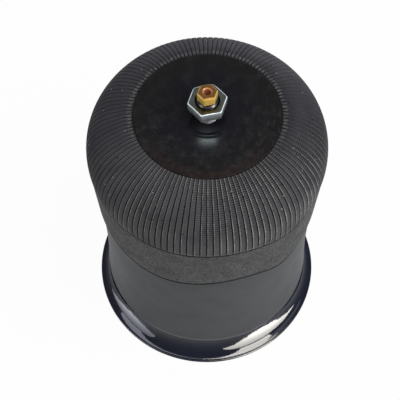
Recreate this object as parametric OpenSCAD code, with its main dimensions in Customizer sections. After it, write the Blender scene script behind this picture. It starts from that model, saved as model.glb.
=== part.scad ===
// Air suspension spring. A ribbed rubber bellows joins a small stud plate at the top to a steel can,
// and the can stands on a flared base. All sizes are in millimetres, with +Z up.
// The origin is the centre of the base, on the surface that it stands on.

/* [Base flange] */
// Outer radius of the flange's neck, which the can fits over
neck_r = 65.5; // [58:0.5:74]
// How far the flared rim stands out from the neck
flare_w = 9.5; // [7:0.5:16]
// Thickness of the flange's steel sheet
flange_sheet = 1.6; // [1:0.1:2.5]
// Height of the flare, from the rim's upper face to the neck
flare_h = 21; // [12:0.5:30]
// Height of the neck above the flare
neck_h = 11.4; // [8:0.2:14]

/* [Base pan] */
// Thickness of the pan's floor
pan_floor_t = 3; // [2:0.5:5]
// Thickness of the pan's wall
pan_wall_t = 1.8; // [1.2:0.1:2]
// Bevel between the pan's floor and its wall
pan_bevel = 3; // [1:0.5:6]
// Thickness of the gasket on the rim of the pan
gasket_t = 1; // [0.6:0.1:1.6]

/* [Base insert] */
// Radius of the threaded insert
insert_r = 11; // [8:0.5:14]
// Radius of the insert's collar
collar_r = 16; // [15:0.5:22]
// Thickness of the insert's collar
collar_t = 3; // [2:0.5:6]
// Height of the insert
insert_h = 28; // [27:0.5:40]
// Radius of the base thread
base_thread_r = 4.25; // [3.4:0.05:6.5]
// Depth of the base thread
base_thread_depth = 14; // [8:0.5:15]

/* [Guide can] */
// Wall of the can
can_wall = 2; // [1.8:0.1:2.2]
// Width of the step inside the can, which stands on the gasket
can_step_w = 2.35; // [2.2:0.05:2.6]
// How far the can widens at its lower edge
can_flare = 2.4; // [2.2:0.1:3.5]
// Height over which the can widens
can_flare_h = 57.5; // [40:0.5:80]
// Height of the can that shows between the flange and the cuff
can_show_h = 91.4; // [82:0.2:140]
// Depth of the can's upper edge below the ribs
can_sink = 2.5; // [2:0.1:4]
// Width of the can's seat under the cuff's edge
can_seat_w = 2.6; // [2.3:0.1:3.2]
// How far the lip round the can's upper edge stands out
can_lip = 1.2; // [0.6:0.1:1.4]
// Height of that lip
can_lip_h = 2.5; // [1.5:0.1:4]

/* [Bellows] */
// How far the ribs stand out past the cuff's upper end, at the widest place
shoulder_step = 0.5; // [0.2:0.1:2]
// Radius of the round shoulder, over the ribs
shoulder_arc = 30.9; // [29:0.1:33]
// Thickness of the rubber between the ribs
rubber_t = 3.2; // [2.5:0.1:3.6]
// Number of ribs round the shoulder
rib_count = 120; // [60:1:160]
// How far a rib stands out
rib_h = 0.8; // [0.4:0.1:1.2]
// Share of the pitch that a rib takes
rib_share = 0.76; // [0.55:0.01:0.85]
// How far the shoulder runs down below its own centre
rib_drop = 4; // [2:0.5:8]
// Height of the plain band between the grooves and the cuff
rib_band = 0.5; // [0.3:0.1:1.5]
// Height of the rough cuff below the ribs
cuff_h = 40; // [30:0.5:60]
// Thickness of the cuff at its upper end
cuff_top_t = 5.75; // [5.5:0.05:6.5]
// Thickness of the cuff at its lower edge
cuff_low_t = 4.25; // [3.8:0.05:5]
// Rounding of the cuff's lower edge
cuff_edge = 0.7; // [0.3:0.1:1.2]

/* [Beads] */
// How far the upper bead's outer side lies inside the plate's edge
bead_inset = 1; // [0.6:0.1:1.6]
// Depth of the upper bead below the plate
bead_depth = 9.7; // [8.5:0.1:12]
// Radial width of the upper bead
bead_w = 7.6; // [7:0.1:8.4]
// Rounding of the upper bead
bead_round = 2; // [1:0.1:2.5]
// Section radius of the steel ring in the upper bead
bead_wire_r = 1.7; // [1:0.1:2.2]
// Section radius of the steel ring in the cuff
cuff_wire_r = 1.2; // [0.8:0.1:1.3]
// Height of the cuff's steel ring below the can's lip
cuff_wire_drop = 5; // [3:0.5:12]

/* [Top plate] */
// How far the plate reaches out past the centre of the shoulder's arc
plate_lap = 2.6; // [2.2:0.1:4]
// Thickness of the top plate
plate_t = 1.5; // [1.2:0.1:2.5]
// Depth to which the plate's edge sinks into the shoulder
plate_sink = 0.3; // [0.1:0.1:0.6]
// Width of the plate's rim outside its dish
dish_rim_w = 6.6; // [4:0.1:10]
// Depth of that dish
dish_depth = 0.4; // [0.2:0.1:0.6]
// Radius of the raised ring round the stud
hub_r = 14; // [11:0.5:20]
// Width of the raised ring
hub_w = 2.6; // [1.5:0.1:4]
// Height of the raised ring
hub_h = 0.35; // [0.2:0.05:0.8]
// Sheet thickness of the ring that holds the bead from below
retainer_t = 1.5; // [1:0.1:2]
// How far that ring's edge lies inside the bead's outer side
retainer_inset = 1.6; // [0.2:0.1:2.4]

/* [Stud] */
// Radius of the mounting stud
stud_r = 6; // [5:0.5:7]
// Height of the stud above the plate
stud_h = 14; // [13.5:0.5:30]
// Bevel of the stud's end
stud_bevel = 0.9; // [0.4:0.1:1.2]
// Radius of the stud's head under the plate
stud_head_r = 14; // [12:0.5:20]
// Thickness of the stud's head
stud_head_t = 3.5; // [2:0.1:6]
// Radius of the air hole through the stud
air_hole_r = 1.6; // [1:0.1:1.9]
// Radius of the socket that takes the air union
socket_r = 4.05; // [3.9:0.05:4.3]
// Thickness of the sealing ring under the plate
stud_seal_t = 0.8; // [0.5:0.1:1.5]
// Outer radius of that sealing ring
stud_seal_r = 11.5; // [9:0.5:11.5]

/* [Stud nut] */
// Nut across flats
nut_af = 19; // [16:0.5:24]
// Thickness of the nut
nut_t = 6; // [4:0.5:6.4]
// Free thread between the plate and the nut
nut_lift = 7.3; // [1:0.1:7.4]
// Angle of the nut's first corner
nut_angle = 12.5; // [0:0.5:60]

/* [Air union] */
// Hexagon of the union across flats
union_af = 10; // [9:0.1:12]
// Thickness of that hexagon
union_hex_t = 5.8; // [4:0.1:8]
// Angle of the hexagon's first corner
union_angle = 12.5; // [0:0.5:60]
// Radius of the bore that takes the air tube
tube_bore_r = 2.05; // [2:0.05:2.3]
// Radius of the countersink round the bore's mouth
mouth_r = 2.7; // [2.4:0.1:3.4]
// Length of the union's threaded tail
union_tail = 9; // [6:0.1:9.4]
// Thickness of the sealing ring under the hexagon
union_seal_t = 1; // [0.6:0.1:1.6]
// Outer radius of that sealing ring
union_seal_r = 5.1; // [4.9:0.1:5.1]
// Length of the collet that grips the tube
collet_h = 4.2; // [3:0.1:5]
// Height of the spacer under the collet
spacer_h = 1.1; // [0.8:0.1:2]
// Section radius of the ring that seals the tube
tube_seal_r = 0.9; // [0.7:0.01:0.92]

/* [Bump stop] */
// Travel from rest down to the bump stop
stroke_down = 45; // [20:1:55]
// Gap that is left at the end of that travel
bump_clear = 0.7; // [0.4:0.1:2]
// Outer radius of the bump stop's lobes
bump_r = 20; // [17:0.5:24]
// Number of grooves round the bump stop
groove_count = 4; // [2:1:6]
// Radius of each groove's section
groove_r = 3.6; // [2:0.1:5]
// Radius of the hole up the bump stop
bump_hole_r = 4; // [3:0.1:6]
// Wall of the cup that holds the bump stop
cup_wall = 2; // [1.5:0.1:3]
// Height of the cup
cup_h = 14; // [11:0.5:20]
// Radius of the cup's screw
screw_r = 4; // [3:0.1:5]
// Length of that screw below the cup
screw_length = 9; // [5:0.5:9.5]
// Radius of the screw's head
screw_head_r = 6.5; // [5.5:0.1:8]
// Height of the screw's head
screw_head_h = 5; // [3:0.1:7]

/* [Fits] */
// Clearance between metal pieces that fit together
fit_gap = 0.05; // [0.02:0.01:0.08]
// Clearance between the bellows and the pieces that move with the plate
soft_gap = 0.25; // [0.15:0.05:0.4]

/* [Hidden] */
$fn = 96;
HEX = 6;
EPS = 0.01;
OVER = 1;
GROOVE_PARTS = 8;

// Heights, from the floor up
flare_top_z = flange_sheet + flare_h;
neck_top_z = flare_top_z + neck_h;
can_low_z = flare_top_z;
can_step_z = neck_top_z + gasket_t;
cuff_low_z = can_low_z + can_show_h;
rib_low_z = cuff_low_z + cuff_h;
arc_z = rib_low_z + rib_drop;
can_top_z = rib_low_z - can_sink;

// Radii of the rim and the can, from the flange's neck
rim_r = neck_r + flare_w;
can_socket_r = neck_r + fit_gap;
can_bore_r = can_socket_r - can_step_w;
can_r = can_bore_r + can_wall;
can_neck_r = can_r - can_seat_w;

// Radii of the cuff, and the shoulder's arc that they give
cuff_seat_r = can_neck_r + fit_gap;
cuff_top_r = cuff_seat_r + cuff_top_t;
cuff_low_r = cuff_seat_r + cuff_low_t;
arc_r = cuff_top_r + shoulder_step - shoulder_arc;
base_arc = shoulder_arc - rib_h;

// The plate that lies on the shoulder, and the bead that hangs under it
plate_r = arc_r + plate_lap;
dish_r = plate_r - dish_rim_w;
bead_r = plate_r - bead_inset - bead_w;
retainer_r = bead_r + bead_w - retainer_inset;
plate_low_z = arc_z + sqrt(pow(base_arc, 2) - pow(plate_r - arc_r, 2)) - plate_sink;
plate_z = plate_low_z + plate_t;
bead_low_z = plate_low_z - bead_depth;

// Length of the cone at the collet's upper end
collet_nose = 1.2;

// The stud and what it holds
stud_top_z = plate_z + stud_h;
head_top_z = plate_low_z - stud_seal_t;
head_low_z = head_top_z - stud_head_t;
hex_low_z = stud_top_z + union_seal_t;
tail_low_z = hex_low_z - union_tail;
collet_low_z = tail_low_z + collet_nose - collet_h;
spacer_low_z = collet_low_z - fit_gap - spacer_h;
socket_low_z = spacer_low_z - fit_gap - 2 * tube_seal_r;
ring_r = socket_r - 2 * fit_gap;

// The bump stop
cup_low_z = insert_h;
bump_low_z = cup_low_z + cup_wall;
bump_top_z = head_low_z - stroke_down - bump_clear;

// A revolved ring with a rectangular section
module ring(inner, outer, low, high) {
    rotate_extrude() translate([inner, low]) square([outer - inner, high - low]);
}

// A revolved ring with a round section
module round_ring(centre_r, section_r, height) {
    rotate_extrude() translate([centre_r, height]) circle(section_r);
}

// A hexagonal block whose corners are bevelled at the top, and at the bottom if low_bevel is set
module hex_block(af, low, high, low_bevel) {
    inset = 0.3;
    face_r = af / 2 - inset;
    corner_r = af / 2 / cos(30);
    drop = (corner_r - face_r) * tan(30);
    low_r = low_bevel ? face_r : corner_r + OVER;
    side_r = low_bevel ? corner_r : corner_r + OVER;
    intersection() {
        translate([0, 0, low]) cylinder(r = corner_r, h = high - low, $fn = HEX);
        rotate_extrude() polygon([
            [0, low],
            [low_r, low],
            [side_r, low + drop],
            [corner_r, high - drop],
            [face_r, high],
            [0, high]
        ]);
    }
}

// The spun flange: a straight neck that sweeps out into a nearly flat rim
module base_flange() {
    centre_r = rim_r - flange_sheet / 2;
    sweep = centre_r - neck_r;
    steps = 14;
    turn = [for (i = [0:steps]) 90 * i / steps];
    upper = [for (a = turn) [centre_r - sweep * cos(a), flare_top_z - flare_h * sin(a)]];
    lower = [for (a = turn) [
        centre_r - (sweep + flange_sheet) * cos(a),
        flare_top_z - (flare_h + flange_sheet) * sin(a)
    ]];
    nose = [for (a = [67.5:-22.5:-67.5]) flange_sheet / 2 * [cos(a), 1 + sin(a)] + [centre_r, 0]];
    color("#23262e") rotate_extrude() polygon(concat(
        [[neck_r, neck_top_z]], upper, nose,
        [for (i = [steps:-1:0]) lower[i]],
        [[neck_r - flange_sheet, neck_top_z]]
    ));
}

// The pressed pan that closes the base, and gives it its flat seat
module base_pan() {
    pan_r = neck_r - flange_sheet - fit_gap;
    inner_r = pan_r - pan_wall_t;
    color("#3a3c40") rotate_extrude() polygon([
        [insert_r + fit_gap, 0],
        [pan_r - pan_bevel, 0],
        [pan_r, pan_bevel],
        [pan_r, neck_top_z],
        [inner_r, neck_top_z],
        [inner_r, pan_floor_t + pan_bevel / 2],
        [inner_r - pan_bevel / 2, pan_floor_t],
        [insert_r + fit_gap, pan_floor_t]
    ]);
}

// The threaded insert in the middle of the pan
module base_insert() {
    bevel = 0.5;
    tip_room = 1;
    color("#8d9093") difference() {
        union() {
            cylinder(r = insert_r, h = insert_h);
            ring(0, collar_r, pan_floor_t, pan_floor_t + collar_t);
        }
        translate([0, 0, -OVER]) cylinder(r = base_thread_r, h = base_thread_depth + OVER);
        translate([0, 0, -EPS]) cylinder(r1 = base_thread_r + bevel, r2 = base_thread_r, h = bevel);
        translate([0, 0, insert_h - screw_length - tip_room])
            cylinder(r = screw_r + fit_gap, h = screw_length + tip_room + OVER);
    }
}

// The flat gasket between the rims of the pan and the flange and the step in the can
module pan_gasket() {
    color("#151515")
        ring(neck_r - flange_sheet - fit_gap - pan_wall_t, neck_r, neck_top_z, can_step_z);
}

// Outer radius of the can at height z
function can_outer(z) =
    can_r + can_flare * pow(1 - min(1, (z - can_low_z) / can_flare_h), 2);

// The guide can: a smooth wall that widens over the flange's neck, and a neck for the cuff
module guide_can() {
    steps = 12;
    levels = [for (i = [0:steps]) can_low_z + can_flare_h * i / steps];
    seat_z = cuff_low_z - fit_gap;
    seat_edge = 0.3;
    lip_edge = 0.5;
    slope = 2;
    color("#5a5c5f") rotate_extrude() polygon(concat(
        [[can_socket_r, can_low_z]],
        [for (z = levels) [can_outer(z), z]],
        [
            [can_r, seat_z - seat_edge],
            [can_r - seat_edge, seat_z],
            [can_neck_r, seat_z],
            [can_neck_r, can_top_z - can_lip_h],
            [can_neck_r + can_lip, can_top_z - can_lip_h],
            [can_neck_r + can_lip, can_top_z - lip_edge],
            [can_neck_r + can_lip - lip_edge, can_top_z],
            [can_neck_r - can_wall, can_top_z],
            [can_neck_r - can_wall, seat_z - can_wall],
            [can_bore_r, seat_z - can_wall - slope],
            [can_bore_r, can_step_z],
            [can_socket_r, can_step_z]
        ]
    ));
}

// Centre of the upper bead's steel ring, as [radius, height]
function bead_wire_centre() = [bead_r + bead_w / 2, bead_low_z + bead_depth / 2];

// Centre of the cuff's steel ring, as [radius, height]
function cuff_wire_centre() =
    [(can_neck_r + cuff_low_r) / 2, can_top_z - can_lip_h - cuff_wire_drop];

// Outline of the shoulder over the ribs, with the upper bead that its inner edge ends in
module shoulder_outline() {
    bead_out = bead_r + bead_w;
    difference() {
        union() {
            intersection() {
                translate([arc_r, arc_z]) difference() {
                    circle(shoulder_arc);
                    circle(base_arc - rubber_t);
                }
                translate([arc_r, rib_low_z]) square(shoulder_arc + rib_drop + OVER);
            }
            translate([bead_r, bead_low_z + bead_round]) square([bead_w, bead_depth - bead_round]);
            translate([bead_r + bead_round, bead_low_z])
                square([bead_w - 2 * bead_round, bead_round + EPS]);
            for (r = [bead_r + bead_round, bead_out - bead_round])
                translate([r, bead_low_z + bead_round]) circle(bead_round);
        }
        translate([0, plate_low_z - soft_gap]) square([plate_r + soft_gap, shoulder_arc]);
        translate(bead_wire_centre()) circle(bead_wire_r + soft_gap);
    }
}

// Outline of the cuff, which runs a little way up into the shoulder
module cuff_outline() {
    lip_r = can_neck_r + can_lip + fit_gap;
    lip_z = can_top_z - can_lip_h - fit_gap;
    root_r = arc_r + base_arc - rubber_t;
    difference() {
        polygon([
            [root_r, arc_z],
            [root_r + rubber_t / 2, arc_z],
            [root_r + rubber_t / 2, rib_low_z],
            [cuff_top_r, rib_low_z],
            [cuff_low_r, cuff_low_z + cuff_edge],
            [cuff_low_r - cuff_edge, cuff_low_z],
            [cuff_seat_r, cuff_low_z],
            [cuff_seat_r, lip_z],
            [lip_r, lip_z],
            [lip_r, can_top_z + fit_gap]
        ]);
        translate(cuff_wire_centre()) circle(cuff_wire_r + fit_gap);
    }
}

// Outline of one groove: all that lies outside the bottoms of the ribs
module groove_outline() {
    reach = shoulder_arc + rib_drop + OVER;
    difference() {
        translate([plate_r, rib_low_z + rib_band]) square(reach);
        translate([arc_r, arc_z]) circle(base_arc);
    }
}

// The grooves in one part of the turn, out of as many parts as GROOVE_PARTS says
module groove_part(part) {
    pitch = 360 / rib_count;
    groove = pitch * (1 - rib_share);
    first = floor(rib_count * part / GROOVE_PARTS);
    after = floor(rib_count * (part + 1) / GROOVE_PARTS);
    for (i = [first:after - 1])
        rotate([0, 0, i * pitch - groove / 2]) rotate_extrude(angle = groove) groove_outline();
}

// The moulded bellows: upper bead, round shoulder with its ribs, and the cuff round the can.
// The grooves are cut in parts, because one union of them all takes much longer to build.
module bellows() {
    color("#3f4043") difference() {
        union() {
            rotate_extrude() shoulder_outline();
            rotate_extrude() cuff_outline();
        }
        groove_part(0);
        groove_part(1);
        groove_part(2);
        groove_part(3);
        groove_part(4);
        groove_part(5);
        groove_part(6);
        groove_part(7);
    }
}

module cuff_bead_ring() {
    color("#9a9c9f") round_ring(cuff_wire_centre()[0], cuff_wire_r, cuff_wire_centre()[1]);
}

module upper_bead_ring() {
    color("#9a9c9f") round_ring(bead_wire_centre()[0], bead_wire_r, bead_wire_centre()[1]);
}

// The pressed ring that holds the bead up against the plate
module bead_retainer() {
    wall_r = bead_r - soft_gap;
    low_z = bead_low_z - soft_gap - retainer_t;
    fillet = 0.5;
    color("#3a3c40") rotate_extrude() polygon([
        [wall_r - retainer_t, low_z],
        [retainer_r, low_z],
        [retainer_r, low_z + retainer_t],
        [wall_r + fillet, low_z + retainer_t],
        [wall_r, low_z + retainer_t + fillet],
        [wall_r, plate_low_z],
        [wall_r - retainer_t, plate_low_z]
    ]);
}

// The round plate at the top, slightly dished, with a raised ring round the stud
module top_plate() {
    edge = 0.4;
    dish_slope = 1;
    hub_slope = 0.5;
    hub_in = hub_r - hub_w / 2;
    hub_out = hub_r + hub_w / 2;
    floor_z = plate_z - dish_depth;
    color("#1c1d20") rotate_extrude() polygon([
        [stud_r + fit_gap, plate_low_z],
        [plate_r, plate_low_z],
        [plate_r, plate_z - edge],
        [plate_r - edge, plate_z],
        [dish_r + dish_slope, plate_z],
        [dish_r - dish_slope, floor_z],
        [hub_out, floor_z],
        [hub_out - hub_slope, floor_z + hub_h],
        [hub_in + hub_slope, floor_z + hub_h],
        [hub_in, floor_z],
        [stud_r + fit_gap, floor_z]
    ]);
}

// The hollow stud, with its head under the plate and a stepped socket for the air union
module mounting_stud() {
    color("#b9b6bd") difference() {
        union() {
            ring(0, stud_head_r, head_low_z, head_top_z);
            rotate_extrude() polygon([
                [0, head_top_z - OVER],
                [stud_r, head_top_z - OVER],
                [stud_r, stud_top_z - stud_bevel],
                [stud_r - stud_bevel, stud_top_z],
                [0, stud_top_z]
            ]);
        }
        translate([0, 0, socket_low_z]) cylinder(r = socket_r, h = stud_top_z - socket_low_z + OVER);
        translate([0, 0, head_low_z - OVER]) cylinder(r = air_hole_r, h = stud_top_z - head_low_z);
    }
}

module stud_seal() {
    color("#151515") ring(stud_r + soft_gap, stud_seal_r, head_top_z, plate_low_z);
}

module stud_nut() {
    low_z = plate_z + nut_lift;
    sink = 0.6;
    hole_r = stud_r + fit_gap;
    color("#c9ccc9") difference() {
        rotate([0, 0, nut_angle]) hex_block(nut_af, low_z, low_z + nut_t, true);
        translate([0, 0, low_z - OVER]) cylinder(r = hole_r, h = nut_t + 2 * OVER);
        translate([0, 0, low_z + nut_t - sink])
            cylinder(r1 = hole_r, r2 = hole_r + sink + EPS, h = sink + EPS);
        translate([0, 0, low_z - EPS])
            cylinder(r1 = hole_r + sink + EPS, r2 = hole_r, h = sink + EPS);
    }
}

// The brass union that clamps the air tube
module union_screw() {
    high_z = hex_low_z + union_hex_t;
    sink = mouth_r - tube_bore_r;
    nose = collet_nose + fit_gap;
    color("#d9a441") difference() {
        union() {
            rotate([0, 0, union_angle]) hex_block(union_af, hex_low_z + fit_gap, high_z, false);
            ring(0, ring_r, tail_low_z, hex_low_z + OVER);
        }
        translate([0, 0, tail_low_z - OVER])
            cylinder(r = tube_bore_r, h = high_z - tail_low_z + 2 * OVER);
        translate([0, 0, high_z - sink])
            cylinder(r1 = tube_bore_r, r2 = mouth_r + EPS, h = sink + EPS);
        translate([0, 0, tail_low_z - EPS])
            cylinder(r1 = tube_bore_r + nose, r2 = tube_bore_r, h = nose);
    }
}

module union_seal() {
    color("#151515") ring(socket_r, union_seal_r, stud_top_z, hex_low_z);
}

// The slotted collet that grips the tube
module tube_collet() {
    outer_r = tube_bore_r + collet_nose;
    slot_w = 0.6;
    tip = 0.3;
    straight = collet_h - collet_nose;
    color("#d9a441") difference() {
        rotate_extrude() polygon([
            [tube_bore_r, collet_low_z],
            [outer_r, collet_low_z],
            [outer_r, collet_low_z + straight],
            [tube_bore_r + tip, collet_low_z + collet_h - tip],
            [tube_bore_r, collet_low_z + collet_h - tip]
        ]);
        for (a = [0:90:270])
            rotate([0, 0, a]) translate([0, -slot_w / 2, collet_low_z + straight / 2])
                cube([outer_r + OVER, slot_w, collet_h]);
    }
}

// The spacer under the collet, whose bore guides the tube in line with the union's
module seal_spacer() {
    color("#e8e4da") ring(tube_bore_r, ring_r, spacer_low_z, spacer_low_z + spacer_h);
}

module tube_seal() {
    color("#151515")
        round_ring(ring_r - tube_seal_r, tube_seal_r, socket_low_z + fit_gap + tube_seal_r);
}

// The foam bump stop: a column with round grooves and a domed end
module bump_stop() {
    cup_gap = 3;
    dome_inset = 4;
    foot_z = cup_low_z + cup_h + cup_gap;
    dome_r = bump_r - dome_inset;
    span = bump_top_z - dome_r / 2 - foot_z;
    pitch = span / groove_count;
    head_room = 1.5;
    color("#55524a") difference() {
        rotate_extrude() difference() {
            union() {
                translate([0, bump_low_z]) square([bump_r, bump_top_z - dome_r / 2 - bump_low_z]);
                intersection() {
                    translate([0, bump_top_z - dome_r]) circle(dome_r);
                    translate([0, bump_top_z - dome_r / 2 - EPS]) square(dome_r);
                }
            }
            for (i = [0:groove_count - 1])
                translate([bump_r, foot_z + (i + 0.5) * pitch]) circle(groove_r);
        }
        translate([0, 0, bump_low_z - OVER])
            cylinder(r = screw_head_r + head_room, h = screw_head_h + head_room + OVER);
        translate([0, 0, bump_low_z - OVER])
            cylinder(r = bump_hole_r, h = bump_top_z - bump_low_z + 2 * OVER);
    }
}

module bump_stop_cup() {
    inner_r = bump_r + fit_gap;
    edge = 1;
    color("#2b2b2b") rotate_extrude() polygon([
        [screw_r + fit_gap, cup_low_z],
        [inner_r + cup_wall - edge, cup_low_z],
        [inner_r + cup_wall, cup_low_z + edge],
        [inner_r + cup_wall, cup_low_z + cup_h],
        [inner_r, cup_low_z + cup_h],
        [inner_r, bump_low_z],
        [screw_r + fit_gap, bump_low_z]
    ]);
}

module cup_screw() {
    key_af = screw_r * 1.5;
    color("#8d9093") difference() {
        union() {
            ring(0, screw_head_r, bump_low_z, bump_low_z + screw_head_h);
            translate([0, 0, cup_low_z - screw_length])
                cylinder(r = screw_r, h = screw_length + cup_wall + OVER);
        }
        translate([0, 0, bump_low_z + screw_head_h / 2])
            cylinder(r = key_af / 2 / cos(30), h = screw_head_h, $fn = HEX);
    }
}

base_flange();
base_pan();
base_insert();
pan_gasket();
guide_can();
bellows();
cuff_bead_ring();
upper_bead_ring();
bead_retainer();
top_plate();
mounting_stud();
stud_seal();
stud_nut();
union_screw();
union_seal();
tube_collet();
seal_spacer();
tube_seal();
bump_stop();
bump_stop_cup();
cup_screw();
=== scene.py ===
"""Air suspension spring: the surfaces and finishes of every piece, the studio and the camera.

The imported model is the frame. Each piece below stands on sizes that are read from its nodes. Lengths are in
millimetres until a mesh is made, and in metres in the studio. The spring's axis is Z and its front faces -Y.
"""
import logging
import math
from dataclasses import dataclass, field
from enum import Enum
from functools import cache

import bpy
import numpy as np
from mathutils import Matrix, Vector


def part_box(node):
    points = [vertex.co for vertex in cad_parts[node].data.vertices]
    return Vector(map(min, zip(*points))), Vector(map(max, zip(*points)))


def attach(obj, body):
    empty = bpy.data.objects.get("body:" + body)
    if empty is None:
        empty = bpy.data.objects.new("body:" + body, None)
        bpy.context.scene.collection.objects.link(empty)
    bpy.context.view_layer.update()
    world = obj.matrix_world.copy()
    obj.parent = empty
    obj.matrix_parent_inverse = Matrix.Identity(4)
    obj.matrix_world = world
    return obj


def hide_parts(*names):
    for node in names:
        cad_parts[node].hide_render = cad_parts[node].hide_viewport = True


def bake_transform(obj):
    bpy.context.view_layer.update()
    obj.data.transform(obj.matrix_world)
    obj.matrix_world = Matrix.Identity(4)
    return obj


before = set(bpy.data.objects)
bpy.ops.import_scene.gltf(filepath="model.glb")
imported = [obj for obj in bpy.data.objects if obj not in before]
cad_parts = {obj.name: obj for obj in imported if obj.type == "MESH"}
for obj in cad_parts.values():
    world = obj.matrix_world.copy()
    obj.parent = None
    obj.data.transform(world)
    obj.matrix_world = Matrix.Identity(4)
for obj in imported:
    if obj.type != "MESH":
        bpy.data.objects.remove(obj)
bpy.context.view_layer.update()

MM = 0.001
TURN = 2 * math.pi
log = logging.getLogger("air_spring")

Colour = tuple[float, float, float]
Span = tuple[float, float]
Array = np.ndarray

WHITE: Colour = (1.0, 1.0, 1.0)
COOL: Colour = (0.86, 0.88, 1.0)
WARM: Colour = (1.0, 0.97, 0.9)
GREEN: Colour = (0.82, 1.0, 0.96)


def srgb(red: float, green: float, blue: float) -> Colour:
    """A colour as the linear light that a shader takes.

    A share of full light above 10 in 255 becomes itself plus 0.055, over 1.055, to the power of 2.4, and a
    lower one is divided by 12.92.

    Args:
        red: its red on a screen, from 0 to 255.
        green: its green.
        blue: its blue.

    Returns:
        The three linear shares.
    """
    return tuple(
        ((value / 255 + 0.055) / 1.055) ** 2.4 if value > 10 else value / 255 / 12.92
        for value in (red, green, blue)
    )


def ease(share: Array | float) -> Array | float:
    """Smooth step of a share: 3 t squared minus 2 t cubed, with t kept between 0 and 1."""
    t = np.clip(share, 0, 1)
    return t * t * (3 - 2 * t)


def low_of(node: str) -> Vector:
    """Lowest corner of a node of the frame, in millimetres."""
    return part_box(node)[0] / MM


def high_of(node: str) -> Vector:
    """Highest corner of a node of the frame, in millimetres."""
    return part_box(node)[1] / MM


# The meshes: outlines of radius and height that are carried round the axis.


@dataclass
class Outline:
    """A closed outline in the plane of radius and height, whose corners are rounded as it is drawn.

    Args:
        hold: how far before and after a round the outline gets a further point, so that the
            shading of a flat stretch stays flat.
        round_share: the most of a side that a round may take.
        hold_share: the most of a side that such a further point may take.
        points: radius, height, rounding and chords of each corner so far.
    """

    hold: float = 0.12
    round_share: float = 0.48
    hold_share: float = 0.2
    points: list[tuple[float, float, float, int]] = field(default_factory=list)

    def corner(self, radius: float, height: float, rounding: float = 0.0, steps: int = 4) -> "Outline":
        """Adds a corner that is rounded later, once both of its neighbours are known.

        Args:
            radius: distance from the axis.
            height: height of the corner.
            rounding: radius of its round, or 0 for a sharp one.
            steps: how many chords the round has.

        Returns:
            The outline itself, so that corners can be written one after the other.
        """
        self.points.append((radius, height, rounding, steps))
        return self

    def curve(self, points: Array) -> "Outline":
        """Adds a stretch of points that lie on a smooth curve already."""
        self.points.extend((r, z, 0.0, 0) for r, z in points)
        return self

    def drawn(self) -> Array:
        """The outline as an array of points.

        A rounded corner becomes an arc that touches both sides. Its centre lies on the line that
        halves the corner, at the rounding over the sine of half the corner's angle.

        Returns:
            Radius and height of each point.
        """
        made: list[Array] = []
        count = len(self.points)
        for i, (r, z, rounding, steps) in enumerate(self.points):
            here = np.array([r, z])
            if not rounding:
                made.append(here)
                continue
            before = np.array(self.points[i - 1][:2]) - here
            after = np.array(self.points[(i + 1) % count][:2]) - here
            room = (np.linalg.norm(before), np.linalg.norm(after))
            before, after = before / room[0], after / room[1]
            half = math.acos(float(np.clip(before @ after, -1, 1))) / 2
            reach = min(rounding / math.tan(half), self.round_share * min(room))
            centre = here + (before + after) / np.linalg.norm(before + after) * reach / math.cos(half)
            first, last = here + before * reach - centre, here + after * reach - centre
            sweep = math.pi - 2 * half
            share = np.linspace(0, 1, steps + 1)[:, None]
            turned = np.sin((1 - share) * sweep) * first + np.sin(share * sweep) * last
            arc = centre + turned / math.sin(sweep)
            lead = min(self.hold, self.hold_share * min(room))
            made += [arc[0] + before * lead, *arc, arc[-1] + after * lead]
        return np.array(made)


def pairs(radius: Array | float, height: Array | float) -> Array:
    """Radii and heights side by side, as the points of an outline."""
    return np.stack(np.broadcast_arrays(radius, height), axis=-1)


def rows_of(rows: list[tuple[Array | float, Array | float]], columns: int) -> Array:
    """The rows of an outline that differs from column to column.

    Args:
        rows: radius and height of each row, each as one number or as one for every column.
        columns: how many columns there are.

    Returns:
        Rows, columns, and radius and height.
    """
    return np.array([pairs(np.broadcast_to(radius, columns), height) for radius, height in rows])


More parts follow.
